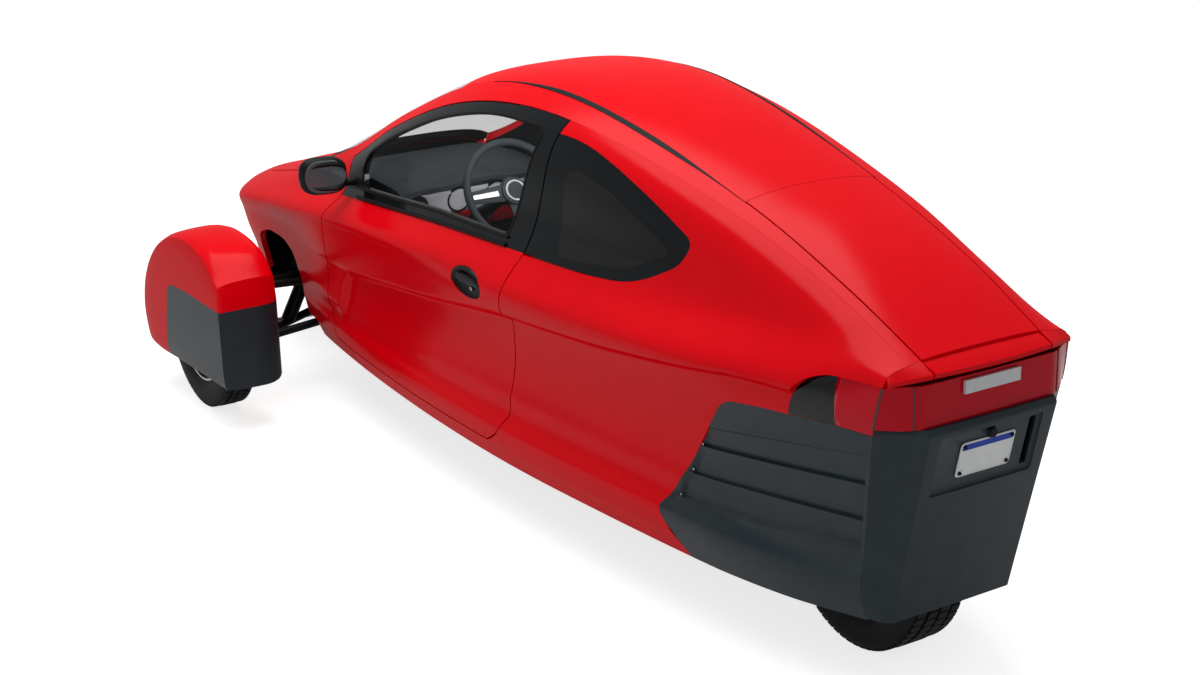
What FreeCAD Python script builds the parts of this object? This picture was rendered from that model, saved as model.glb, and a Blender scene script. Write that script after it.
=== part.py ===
import FreeCAD, Part
import math
import os

# Three-wheeled two-seat car, two wheels in front and one behind.
# Millimetres. The body is drawn from a datum near the rear axle: X forward, Y left, Z up from the ground.
# Every sub-part's Placement then moves it so that the origin lies under the middle of the car.

doc = FreeCAD.newDocument("three_wheeled_car")

# ---------------------------------------------------------------- driving sizes

SIZES = [
    ("rear_axle", 85, "body datum to the rear axle"),
    ("wheelbase", 2794, "rear axle to front axle"),
    ("tail_length", 360, "body datum back to the tail"),
    ("nose_length", 3717, "body datum to the nose"),
    ("track", 1470, "between the front tyres' middles"),
    ("front_tyre_radius", 285, "outside radius"),
    ("front_tyre_width", 120, "section width"),
    ("rear_tyre_radius", 285, "outside radius"),
    ("rear_tyre_width", 176, "section width"),
    ("rim_radius", 190, "radius of the rim's seat"),
    ("hub_radius", 55, "wheel hubs"),
    ("axle_radius", 14, "stub axles"),
    ("running_gap", 0.05, "radial clearance of turning fits"),
    ("disc_radius", 130, "brake discs"),
    ("disc_thickness", 10, "brake discs"),
    ("kingpin_half_track", 632, "kingpin axis from the middle plane"),
    ("pod_inner", 620, "inner face of the wheel pod"),
    ("pod_outer", 850, "outer face of the wheel pod"),
    ("pod_wall", 12, "wall of the wheel pod"),
    ("skin", 22, "body panels"),
    ("door_thickness", 40, "whole door and side wall"),
    ("glass", 5, "window glass"),
    ("panel_gap", 5, "gap around moving panels"),
    ("seam", 0.3, "gap between fixed neighbours"),
    ("floor_thickness", 25, "floor pan"),
    ("cladding_wall", 18, "plastic cladding"),
    ("frame_height", 60, "front frame rails"),
    ("frame_width", 40, "front frame rails"),
    ("engine_length", 420, "engine block along X"),
    ("engine_width", 400, "engine block along Y"),
    ("engine_height", 360, "engine block along Z"),
    ("seat_width", 460, "both seats"),
    ("seat_cushion", 130, "cushion thickness"),
    ("seat_back", 110, "backrest thickness"),
    ("column_radius", 20, "steering column"),
    ("steering_wheel_radius", 172, "to the middle of the grip"),
    ("steering_grip_radius", 13, "grip's own radius"),
    ("plate_width", 177.8, "licence plate"),
    ("plate_height", 101.6, "licence plate"),
    ("arm_radius", 15, "suspension tubes"),
    ("swing_arm_radius", 24, "rear swing arm tubes"),
    ("mirror_length", 175, "door mirrors"),
    ("hinge_radius", 2, "hinge knuckles in the panel gaps"),
    ("steering_arm", 123, "kingpin to the tie rod's ball"),
]

sheet = doc.addObject("Spreadsheet::Sheet", "Sizes")
for row, (alias, value, note) in enumerate(SIZES, start=1):
    sheet.set("A%d" % row, alias)
    sheet.set("B%d" % row, str(value))
    sheet.set("C%d" % row, note)
    sheet.setAlias("B%d" % row, alias)
last = len(SIZES) + 1
sheet.set("A%d" % last, "origin_shift")
sheet.set("B%d" % last, "=(tail_length - nose_length) / 2")
sheet.setAlias("B%d" % last, "origin_shift")
doc.recompute()


def size(alias):
    return float(sheet.get(alias))


LEFT = 1
RIGHT = -1
parts = []


def vec(x, y, z):
    return FreeCAD.Vector(x, y, z)


def keep(name, shape):
    """Add a finished shape as a sub-part and move it to the car's own origin."""
    feature = doc.addObject("Part::Feature", name)
    feature.Label = name
    feature.Shape = shape
    shift = FreeCAD.Placement(vec(size("origin_shift"), 0, 0), FreeCAD.Rotation())
    feature.Placement = shift.multiply(shape.Placement)
    parts.append(feature)
    return feature


def keep_object(feature):
    """Keep a parametric object as a sub-part; its own expression moves it to the origin."""
    feature.Label = feature.Name
    parts.append(feature)
    return feature


def bind(feature, expressions):
    for target, expression in expressions.items():
        feature.setExpression(target, expression)


def box(name, length, width, height, x, y, z):
    """A Part::Box whose sizes and lower corner are expressions of the sheet."""
    solid = doc.addObject("Part::Box", name)
    bind(solid, {
        "Length": length, "Width": width, "Height": height,
        "Placement.Base.x": "Sizes.origin_shift + " + x,
        "Placement.Base.y": y, "Placement.Base.z": z,
    })
    return solid


def mirrored(shape):
    return shape.mirror(vec(0, 0, 0), vec(0, 1, 0))


def on_side(shape, side):
    return shape if side == LEFT else mirrored(shape)


def pair(shape):
    """A piece of the left side together with its mirror image."""
    return Part.makeCompound([shape, mirrored(shape)])


def skinned(loops):
    """A solid with ruled faces from each closed loop of points to the next, and flat ends."""
    edges = []
    for loop in loops:
        edges.append([Part.makeLine(p, q) for p, q in zip(loop, loop[1:] + loop[:1])])
    faces = [Part.makeRuledSurface(e, f) for row, other in zip(edges, edges[1:]) for e, f in zip(row, other)]
    for loop in (loops[0], loops[-1]):
        faces.append(Part.Face(Part.makePolygon(loop + loop[:1])))
    shell = Part.makeShell(faces)
    shell.sewShape()
    solid = Part.makeSolid(shell.Shells[0] if shell.ShapeType != "Shell" else shell)
    if solid.Volume < 0:
        solid.reverse()
    return solid


def block(x0, x1, y0, y1, z0, z1):
    return Part.makeBox(x1 - x0, y1 - y0, z1 - z0, vec(x0, y0, z0))


def prism_xz(outline, y0, y1, grow=0.0):
    """A side-view outline pulled along Y; grow moves its edges outward."""
    wire = Part.makePolygon([vec(x, y0, z) for x, z in outline + outline[:1]])
    face = Part.Face(wire)
    if grow:
        face = Part.Face(wire.makeOffset2D(grow, 2, False, False))
    return face.extrude(vec(0, y1 - y0, 0))


# ---------------------------------------------------------------- the body's surface

# Half-width and height of the lengthwise lines at each station, from the tail to the nose.
STATION_COLUMNS = (
    "x sill_y sill_z crease_y crease_z waist_y waist_z line_y line_z shoulder_y shoulder_z "
    "belt_y belt_z rail_y rail_z drip_y drip_z crown_z"
).split()
STATION_ROWS = [
    (-290, 225, 215, 268, 335, 270, 410, 292, 640, 304, 850, 290, 915, 225, 936, 192, 942, 948),
    (0, 300, 212, 350, 340, 330, 420, 338, 660, 360, 845, 330, 920, 235, 1055, 205, 1064, 1080),
    (350, 350, 208, 415, 355, 375, 440, 385, 675, 425, 845, 375, 925, 262, 1172, 214, 1185, 1205),
    (900, 400, 205, 462, 350, 415, 440, 425, 680, 475, 835, 420, 918, 305, 1282, 238, 1312, 1340),
    (1300, 425, 205, 480, 345, 435, 435, 440, 675, 497, 822, 436, 903, 325, 1303, 252, 1346, 1377),
    (1700, 430, 208, 480, 340, 440, 430, 445, 670, 500, 805, 436, 880, 335, 1243, 265, 1292, 1330),
    (2100, 420, 215, 465, 340, 432, 430, 438, 660, 487, 778, 425, 845, 345, 1100, 292, 1140, 1186),
    (2450, 400, 225, 440, 345, 418, 430, 425, 640, 468, 745, 405, 810, 352, 925, 318, 968, 1030),
    (2750, 370, 235, 410, 360, 398, 440, 408, 610, 445, 705, 388, 765, 345, 828, 318, 855, 885),
    (3100, 320, 260, 350, 370, 362, 450, 378, 570, 402, 650, 352, 700, 290, 745, 250, 767, 787),
    (3450, 260, 262, 292, 372, 318, 450, 335, 530, 350, 592, 300, 632, 225, 665, 180, 677, 687),
    (3620, 190, 285, 218, 375, 242, 445, 262, 510, 268, 560, 225, 598, 165, 622, 125, 631, 637),
    (3700, 100, 335, 118, 400, 134, 440, 150, 490, 152, 525, 125, 552, 92, 570, 68, 577, 580),
    (3717, 50, 370, 62, 410, 72, 440, 80, 480, 80, 505, 66, 525, 50, 537, 36, 542, 545),
]
TABLE_TAIL = 360.0
TABLE_NOSE = 3717.0
LINES = ["sill", "fold", "crease", "waist", "line", "shoulder", "belt", "rail", "drip", "crown"]
PIECES_AFTER = {"sill": 1, "fold": 1, "crease": 1, "waist": 2, "line": 3, "shoulder": 3,
                "belt": 4, "rail": 1, "drip": 4}
SHARP = {"sill", "fold", "crease", "waist", "line"}
STATION_STEP = 120.0
TAIL_X = -290.0
TAIL_LEAN = 0.19
LEAN_FROM_Z = 905.0
LEAN_ENDS_X = 310.0


def hermite(a, b, slope_a, slope_b, t):
    """Cubic from a to b with the given end slopes, at t between 0 and 1."""
    return ((2 * t ** 3 - 3 * t ** 2 + 1) * a + (t ** 3 - 2 * t ** 2 + t) * slope_a
            + (3 * t ** 2 - 2 * t ** 3) * b + (t ** 3 - t ** 2) * slope_b)


def along(x, column):
    """One column of the table at any x, as a smooth curve through the stations."""
    rows = STATION_ROWS
    stretch = (size("nose_length") + size("tail_length")) / (TABLE_NOSE + TABLE_TAIL)
    table_x = (x + size("tail_length")) / stretch - TABLE_TAIL
    k = STATION_COLUMNS.index(column)
    i = 0
    while i < len(rows) - 2 and table_x > rows[i + 1][0]:
        i += 1
    x0, x1 = rows[i][0], rows[i + 1][0]
    a, b = rows[i][k], rows[i + 1][k]
    before = rows[i - 1] if i > 0 else rows[i]
    after = rows[i + 2] if i + 2 < len(rows) else rows[i + 1]
    span = x1 - x0
    slope_a = (b - before[k]) / (x1 - before[0]) * span
    slope_b = (after[k] - a) / (after[0] - x0) * span
    t = min(max((table_x - x0) / span, -0.2), 1.0)
    return hermite(a, b, slope_a, slope_b, t)


def line_point(x, name):
    """Half-width and height of one lengthwise line at x."""
    if name == "crown":
        return (0.0, along(x, "crown_z"))
    if name == "fold":
        sill, crease = line_point(x, "sill"), line_point(x, "crease")
        return (0.45 * sill[0] + 0.55 * crease[0] + 6.0, (sill[1] + crease[1]) / 2.0)
    return (along(x, name + "_y"), along(x, name + "_z"))


def inward(key, thickness):
    """The lengthwise lines' points moved inward by the thickness, square to the chords."""
    normals = []
    for a, b in zip(key, key[1:]):
        length = math.hypot(b[0] - a[0], b[1] - a[1])
        normals.append(((b[1] - a[1]) / length, -(b[0] - a[0]) / length))
    moved = []
    for i, (y, z) in enumerate(key):
        n0 = normals[max(i - 1, 0)]
        n1 = normals[min(i, len(normals) - 1)]
        if i == len(key) - 1:
            n0 = n1 = (0.0, 1.0)
        ny, nz = n0[0] + n1[0], n0[1] + n1[1]
        length = math.hypot(ny, nz)
        ny, nz = ny / length, nz / length
        reach = thickness / max(ny * n0[0] + nz * n0[1], 0.8)
        moved.append((y - ny * reach, z - nz * reach))
    return moved


def section(x, inset=0.0):
    """The left half of the section at x: points from sill to crown, and each line's index."""
    key = [line_point(x, name) for name in LINES]
    if inset:
        key = inward(key, inset)
    key.append((-key[-2][0], key[-2][1]))
    points, index = [], {}
    for i, name in enumerate(LINES[:-1]):
        a, b = key[i], key[i + 1]
        index[name] = len(points)
        count = PIECES_AFTER[name]
        chord = math.hypot(b[0] - a[0], b[1] - a[1])
        slope_a = slope_b = (b[0] - a[0], b[1] - a[1])
        if name not in SHARP:
            slope_a = tangent(key[i - 1], a, b, chord)
        if name == "drip":
            slope_a = eased(slope_a, b[1] - a[1])
        if LINES[i + 1] not in SHARP:
            slope_b = tangent(a, b, key[i + 2], chord)
        for j in range(count):
            t = j / count
            points.append(tuple(hermite(a[c], b[c], slope_a[c], slope_b[c], t) for c in (0, 1)))
    index["crown"] = len(points)
    points.append(key[-2])
    return points, index


def tangent(before, here, after, length):
    """The direction of the curve at a soft line, scaled to the length of the span."""
    p = math.hypot(here[0] - before[0], here[1] - before[1])
    q = math.hypot(after[0] - here[0], after[1] - here[1])
    dy = (here[0] - before[0]) / p * q + (after[0] - here[0]) / q * p
    dz = (here[1] - before[1]) / p * q + (after[1] - here[1]) / q * p
    size_now = math.hypot(dy, dz)
    return (dy / size_now * length, dz / size_now * length)


def eased(slope, rise):
    """A slope shortened where it would lift the curve over its far end."""
    share = min(1.0, 3.0 * rise / slope[1])
    return (slope[0] * share, slope[1] * share)


def lean(x, z):
    """Sections lean forward toward the foot at the tail and stand upright ahead of the rear axle."""
    share = min(max((LEAN_ENDS_X - x) / (LEAN_ENDS_X - TAIL_X), 0.0), 1.0)
    return x + TAIL_LEAN * (LEAN_FROM_Z - z) * share


def between(p, q, distance):
    length = math.hypot(q[0] - p[0], q[1] - p[1])
    t = distance / length
    return (p[0] + (q[0] - p[0]) * t, p[1] + (q[1] - p[1]) * t)


def strip_loop(x, first, last_line, thickness, trim_first, trim_last, sink):
    points, index = section(x, sink)
    inner = section(x, sink + thickness)[0]
    a, b = index[first], index[last_line]
    outer_run, inner_run = points[a:b + 1], inner[a:b + 1]
    if trim_first:
        outer_run[0] = between(outer_run[0], outer_run[1], trim_first)
        inner_run[0] = between(inner_run[0], inner_run[1], trim_first)
    if trim_last:
        outer_run[-1] = between(outer_run[-1], outer_run[-2], trim_last)
        inner_run[-1] = between(inner_run[-1], inner_run[-2], trim_last)
    if last_line == "crown":
        outer_run += [(-y, z) for y, z in outer_run[-2::-1]]
        inner_run += [(-y, z) for y, z in inner_run[-2::-1]]
    loop = outer_run + inner_run[::-1]
    return [vec(lean(x, z), y, z) for y, z in loop]


def blended_loop(k, settings):
    """The loop at a station number between two whole ones, on the same ruled surface."""
    low = int(math.floor(k + 0.001))
    share = k - low
    near = strip_loop(TAIL_X + STATION_STEP * low, *settings)
    if share < 0.002:
        return near
    far = strip_loop(TAIL_X + STATION_STEP * (low + 1), *settings)
    return [p + (q - p) * share for p, q in zip(near, far)]


def strip(x0, x1, first, last_line, thickness, trim_first=0.0, trim_last=0.0, sink=0.0):
    """A panel of the body between two lengthwise lines and two stations.

    A strip that ends at the crown runs over the roof to the same line on the other side.
    """
    settings = (first, last_line, thickness, trim_first, trim_last, sink)
    k0 = (x0 - TAIL_X) / STATION_STEP
    k1 = (x1 - TAIL_X) / STATION_STEP
    loops = [blended_loop(k0, settings)]
    for k in range(int(math.floor(k0 + 0.01)) + 1, int(math.ceil(k1 - 0.01))):
        loops.append(strip_loop(TAIL_X + STATION_STEP * k, *settings))
    loops.append(blended_loop(k1, settings))
    return skinned(loops)


# ---------------------------------------------------------------- cut lines on the body's side

ROOF_FRONT_X = 1780.0
ROOF_REAR_X = 372.0
GLASS_FRONT_X = 2690.0
HOOD_REAR_X = 2745.0
NOSE_X = 3400.0
DOOR_REAR = [(1400, 285), (1300, 480), (1235, 760), (1215, 905), (1165, 1120), (1120, 1400)]
DOOR_FRONT = [(2390, 1400), (2405, 930), (2400, 820), (2455, 740), (2497, 560), (2505, 400), (2480, 300)]
DOOR_FOOT = [(2430, 262), (1450, 250)]
DOOR_OUTLINE = DOOR_REAR + DOOR_FRONT + DOOR_FOOT
SIDE_WINDOW = [(1262, 935), (1205, 1160), (1190, 1270), (1450, 1262), (1750, 1195), (2080, 1070),
               (2250, 985), (2285, 930), (2262, 868), (1700, 918)]
QUARTER_GLASS = [(1195, 900), (1130, 1262), (980, 1268), (800, 1225), (600, 1160), (430, 1088),
                 (470, 1020), (640, 935), (900, 912)]
CLADDING = [(-500, 120), (-500, 768), (-160, 762), (100, 742), (215, 728), (262, 700), (360, 560),
            (430, 450), (490, 352), (440, 255), (385, 120)]
LAMP = [(-500, 772), (-500, 892), (-130, 890), (-70, 868), (-20, 815), (5, 762)]
ARCH = [(2790, 100), (2780, 290), (2805, 400), (2880, 490), (3000, 525), (3180, 518), (3310, 470),
        (3345, 380), (3320, 260), (3320, 100)]
REACH_IN = 120.0
REACH_OUT = 700.0


def side_prism(outline, grow=0.0):
    return prism_xz(outline, REACH_IN, REACH_OUT, grow)


def side_wall(x0, x1, cuts):
    """The side from the lower fold to the roof rail, less the pieces that fill its openings."""
    wall = strip(x0, x1, "fold", "rail", size("skin"), trim_last=size("seam"))
    for outline, gap in cuts:
        wall = wall.cut(side_prism(outline, gap))
    return wall


def largest(shape):
    return max(shape.Solids, key=lambda solid: solid.Volume)


# Fixed left and right walls. The door is on the left only.
REAR_CUTS = [(CLADDING, size("seam")), (LAMP, size("seam")), (QUARTER_GLASS, size("seam"))]
quarter_left = side_wall(TAIL_X, 1420, REAR_CUTS + [(DOOR_OUTLINE, size("panel_gap"))])
keep("quarter_left", largest(quarter_left))
fender_left = side_wall(2360, NOSE_X, [(DOOR_OUTLINE, size("panel_gap")), (ARCH, 0.0)])

# The door turns about a line through the gap at its front edge, one knuckle at the fold of the
# sill and one at the widest part of the body.
HINGE_LOW = vec(2494, 436, 345)
HINGE_HIGH = vec(2466.9, 458, 700)
door_axis = HINGE_HIGH - HINGE_LOW
door_axis.normalize()


def door_knuckles(first, last_end, toward):
    solids = []
    for centre in (HINGE_LOW, HINGE_HIGH):
        start = centre + door_axis * first
        solids.append(Part.makeCylinder(size("hinge_radius"), last_end - first, start, door_axis))
        tab = block(0, size("panel_gap") * 3, -5, -1, 0, last_end - first)
        if toward < 0:
            tab = tab.mirror(vec(0, 0, 0), vec(1, 0, 0))
        tab.translate(start)
        solids.append(tab)
    return solids


keep("fender_left", largest(fender_left.multiFuse(door_knuckles(-3.3, -0.3, 1)).removeSplitter()))
side_right = side_wall(TAIL_X, NOSE_X, REAR_CUTS + [(SIDE_WINDOW, size("seam")), (ARCH, 0.0)])
keep("side_right", mirrored(largest(side_right)))

rocker = strip(385, 2700, "sill", "fold", size("door_thickness"), trim_last=size("seam"))
rocker = largest(rocker.cut(side_prism(CLADDING, size("seam"))))
keep("rockers", pair(rocker))
rail = strip(TAIL_X, GLASS_FRONT_X, "rail", "drip", size("skin") * 1.5)
keep("roof_rails", pair(rail))
glass = strip(400, 1260, "belt", "rail", size("glass"), trim_last=size("seam"), sink=1.0)
keep("quarter_glass", pair(largest(glass.common(side_prism(QUARTER_GLASS)))))

# Roof, windscreen, cowl and hood between the drip lines.

def hinge_line(x):
    """The axis of a lid across the car, its knuckles just below the skin on the middle plane."""
    height = line_point(x, "crown")[1]
    return vec(lean(x, height), 0, height - size("hinge_radius"))


def hinge_knuckles(axis_point, toward, stretches):
    """Knuckles round the axis, each with a tab into the panel ahead of (1) or behind it (-1)."""
    radius, reach = size("hinge_radius"), size("panel_gap") * 2.5
    solids = []
    for y0, y1 in stretches:
        start = vec(axis_point.x, y0, axis_point.z)
        solids.append(Part.makeCylinder(radius, y1 - y0, start, vec(0, 1, 0)))
        x0, x1 = sorted((axis_point.x, axis_point.x + toward * reach))
        solids.append(block(x0, x1, y0, y1, axis_point.z - radius - 2.5, axis_point.z - 0.5))
    return solids


LID_STRETCHES = [(-45, -20.3), (20.3, 45)]
roof = strip(ROOF_REAR_X + size("panel_gap"), ROOF_FRONT_X, "drip", "crown", size("skin"),
             trim_first=size("seam"))
roof_hinge = hinge_line(ROOF_REAR_X + size("panel_gap") / 2)
keep("roof_panel", roof.multiFuse(hinge_knuckles(roof_hinge, 1, [(-20, 20)])).removeSplitter())
windscreen = strip(ROOF_FRONT_X + size("seam"), GLASS_FRONT_X, "drip", "crown", size("glass"),
                   trim_first=size("seam"), sink=1.0)
keep("windscreen", windscreen)
cowl = strip(GLASS_FRONT_X + size("seam"), HOOD_REAR_X, "drip", "crown", size("skin"))
hood_hinge = hinge_line(HOOD_REAR_X + size("panel_gap") / 2)
keep("cowl", cowl.multiFuse(hinge_knuckles(hood_hinge, -1, [(-20, 20)])).removeSplitter())

# ---------------------------------------------------------------- door, deck lid and hood

door_core = strip(1080, 2560, "fold", "belt", size("door_thickness"), trim_first=size("panel_gap"),
                  trim_last=size("seam"))
door_panel = largest(door_core.common(side_prism(DOOR_OUTLINE)))
door_panel = largest(door_panel.multiFuse(door_knuckles(0, 3, -1)).removeSplitter())
keep("door_panel", door_panel)
door_top = strip(1080, 2560, "belt", "rail", size("skin"), trim_last=size("panel_gap"))
door_top = door_top.common(side_prism(DOOR_OUTLINE))
keep("door_frame", largest(door_top.cut(side_prism(SIDE_WINDOW, size("seam")))))
for side, word in ((LEFT, "left"), (RIGHT, "right")):
    pane = strip(1150, 2450, "belt", "rail", size("glass"), trim_last=size("panel_gap"), sink=4.0)
    pane = largest(pane.common(side_prism(SIDE_WINDOW)))
    keep("door_glass" if side == LEFT else "window_glass_right", on_side(pane, side))

deck_lid = strip(TAIL_X, ROOF_REAR_X, "drip", "crown", size("skin"), trim_first=size("panel_gap"))
lip_loops = []
LIP_HALF = 187.0
for y, edge_x in ((-LIP_HALF, -346), (-100, -353), (0, -356), (100, -353), (LIP_HALF, -346)):
    lip_loops.append([vec(-284, y, 944), vec(edge_x, y, 921), vec(edge_x, y, 905), vec(-284, y, 916)])
deck_lid = deck_lid.multiFuse([skinned(lip_loops)] + hinge_knuckles(roof_hinge, -1, LID_STRETCHES))
keep("deck_lid", largest(deck_lid.removeSplitter()))
hood = strip(HOOD_REAR_X + size("panel_gap"), NOSE_X - size("panel_gap"), "rail", "crown",
             size("skin"), trim_first=size("panel_gap"))
hood = hood.multiFuse(hinge_knuckles(hood_hinge, 1, LID_STRETCHES)).removeSplitter()
keep("hood", hood)

# ---------------------------------------------------------------- nose

def nose_loop(x, inset):
    points, index = section(x, inset)
    loop = points + [(-y, z) for y, z in points[-2::-1]]
    return [vec(x, y, z) for y, z in loop]


NOSE_WALL = 20.0
nose_x1 = size("nose_length")
nose_rows = [nose_x1 - back for back in (215, 150, 95, 55, 25, 8)]
nose_outer = skinned([nose_loop(x, 0.0) for x in [NOSE_X] + nose_rows + [nose_x1]])
nose_inner = skinned([nose_loop(x, NOSE_WALL) for x in [NOSE_X - 1] + nose_rows[:-1]])
HEADLAMP_Y, HEADLAMP_Z, HEADLAMP_RADIUS = 175.0, 520.0, 52.0
nose = nose_outer.cut(nose_inner)
lamp_axis = vec(1, 0.5, 0.1)
start = vec(3520, HEADLAMP_Y, HEADLAMP_Z)
lens = Part.makeCylinder(HEADLAMP_RADIUS, 300, start, lamp_axis).common(nose_outer).cut(nose_inner)
keep("headlamps", pair(largest(lens)))
nose = nose.cut(pair(Part.makeCylinder(HEADLAMP_RADIUS + size("seam"), 300, start, lamp_axis)))
keep("nose", largest(nose))

# ---------------------------------------------------------------- floor, firewall and frame

def floor_loop(x):
    y, z = line_point(x, "sill")
    drop = size("seam")
    half = y - 2.0
    corners = [(half, z - drop), (-half, z - drop),
               (-half, z - drop - size("floor_thickness")), (half, z - drop - size("floor_thickness"))]
    return [vec(x, cy, cz) for cy, cz in corners]


FLOOR_REAR_X = 395.0
FLOOR_FRONT_X = 2790.0
floor_count = 10
floor_step = (FLOOR_FRONT_X - FLOOR_REAR_X) / floor_count
floor_pan = skinned([floor_loop(FLOOR_REAR_X + floor_step * i) for i in range(floor_count + 1)])
keep("floor_pan", floor_pan)
FLOOR_TOP = line_point(FLOOR_REAR_X, "sill")[1]


def bulkhead(x0, x1, top_line, lower_z, clearance):
    """A cross wall that follows the inside of the body."""
    loops = []
    for x in (x0, x1):
        points, index = section(x, size("door_thickness") + clearance)
        run = points[:index[top_line] + 1]
        foot = (run[0][0], lower_z)
        loop = [foot] + run + [(-y, z) for y, z in run[::-1]] + [(-foot[0], lower_z)]
        loops.append([vec(x, y, z) for y, z in loop])
    return skinned(loops)


FIREWALL_X = 2700.0
firewall_foot = line_point(FIREWALL_X + 25, "sill")[1] + 0.8
keep("firewall", bulkhead(FIREWALL_X, FIREWALL_X + 20, "shoulder", firewall_foot, 0.3))
REAR_WALL_X = 400.0
keep("rear_bulkhead", bulkhead(REAR_WALL_X, REAR_WALL_X + 20, "belt", FLOOR_TOP, 0.3))

front_axle = "Sizes.rear_axle + Sizes.wheelbase"
FRAME_Y = 210.0
FRAME_Z = 238.0
RACK_Z, RACK_RADIUS = 215.0, 10.0
rails = []
for side, word in ((LEFT, "left"), (RIGHT, "right")):
    offset = "%d - Sizes.frame_width / 2" % (side * FRAME_Y)
    rails.append(box("frame_beam_" + word, "Sizes.nose_length - Sizes.wheelbase - Sizes.rear_axle - 240",
                     "Sizes.frame_width", "Sizes.frame_height", front_axle + " - 155", offset, "%g" % FRAME_Z))
    rails.append(box("rack_mount_" + word, "30", "Sizes.frame_width", "%g" % (FRAME_Z - RACK_Z - RACK_RADIUS - 0.3),
                     front_axle + " + Sizes.steering_arm - 15", offset, "%g" % (RACK_Z + RACK_RADIUS + 0.3)))
frame = doc.addObject("Part::MultiFuse", "frame_rails")
frame.Shapes = rails
keep_object(frame)

engine = box("engine_blank", "Sizes.engine_length", "Sizes.engine_width", "Sizes.engine_height",
             front_axle + " + 20", "-Sizes.engine_width / 2", "%g + Sizes.frame_height + 0.3" % FRAME_Z)
keep_object(engine)
engine.Label = "engine_block"

doc.recompute()

# ---------------------------------------------------------------- tail

# Plan of the tail wall at its head and foot, from the corner strip's rear edge to the middle plane.
TAIL_HEAD = [(-318, 236), (-358, 206), (-360, 0)]
TAIL_FOOT = [(-205, 214), (-222, 192), (-224, 0)]
TAIL_HEAD_Z, TAIL_FOOT_Z = 780.0, 222.0
TAIL_LEVELS = (TAIL_FOOT_Z, 275.0, 335.0, 410.0, 640.0, TAIL_HEAD_Z)
CORNER_WALL = 25.0


def tail_corner(z):
    """The rear edge of the body's side at a height: its place along and across the car."""
    points, index = section(TAIL_X)
    side = points[:index["belt"] + 1]
    for (y0, z0), (y1, z1) in zip(side, side[1:]):
        if z0 <= z <= z1:
            return lean(TAIL_X, z) - size("seam"), y0 + (y1 - y0) * (z - z0) / (z1 - z0)


def wall_loop(plan, z, wall):
    """One ring of a wall across the tail that meets the side's rear edge at both corners."""
    corner_x, corner_y = tail_corner(z)
    middle = plan + [(x, -y) for x, y in plan[-2::-1]]
    inner = [(x + wall, y * 0.97) for x, y in middle]
    ends = [(corner_x, corner_y), (corner_x, -corner_y)]
    inner_ends = [(corner_x, -corner_y + CORNER_WALL), (corner_x, corner_y - CORNER_WALL)]
    loop = ends[:1] + middle + ends[1:] + inner_ends[:1] + inner[::-1] + inner_ends[1:]
    return [vec(x, y, z) for x, y in loop]


def tail_plan(z):
    share = (z - TAIL_FOOT_Z) / (TAIL_HEAD_Z - TAIL_FOOT_Z)
    return [(fx + (hx - fx) * share, fy + (hy - fy) * share)
            for (fx, fy), (hx, hy) in zip(TAIL_FOOT, TAIL_HEAD)]


rear_bumper = skinned([wall_loop(tail_plan(z), z, size("cladding_wall")) for z in TAIL_LEVELS])
plate_z = 668.0
tilt = math.degrees(math.atan2(TAIL_FOOT[-1][0] - TAIL_HEAD[-1][0], TAIL_HEAD_Z - TAIL_FOOT_Z))
share_up = (plate_z - TAIL_FOOT_Z) / (TAIL_HEAD_Z - TAIL_FOOT_Z)
tail_face_x = TAIL_FOOT[-1][0] + (TAIL_HEAD[-1][0] - TAIL_FOOT[-1][0]) * share_up
RECESS_WIDTH, RECESS_HEIGHT, RECESS_DEPTH = 330.0, 170.0, 10.0
recess = Part.makeBox(60, RECESS_WIDTH, RECESS_HEIGHT, vec(-60 + RECESS_DEPTH, -RECESS_WIDTH / 2, -RECESS_HEIGHT / 2))
leaning = FreeCAD.Placement(vec(tail_face_x, 0, plate_z), FreeCAD.Rotation(vec(0, 1, 0), -tilt))
recess.Placement = leaning
keep("rear_bumper", rear_bumper.cut(recess))
PLATE_THICKNESS = 2.0
plate = Part.makeBox(PLATE_THICKNESS, size("plate_width"), size("plate_height"),
                     vec(RECESS_DEPTH - PLATE_THICKNESS, -size("plate_width") / 2, -size("plate_height") / 2))
plate.Placement = leaning
keep("licence_plate", plate)

cover = strip(TAIL_X, 520, "sill", "shoulder", size("cladding_wall"))
cover = largest(cover.common(side_prism(CLADDING)))
keep("cladding_left", cover)
keep("cladding_right", mirrored(cover))
lamp = strip(TAIL_X, 70, "line", "belt", size("cladding_wall"))
keep("side_lamps", pair(largest(lamp.common(side_prism(LAMP)))))

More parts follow.
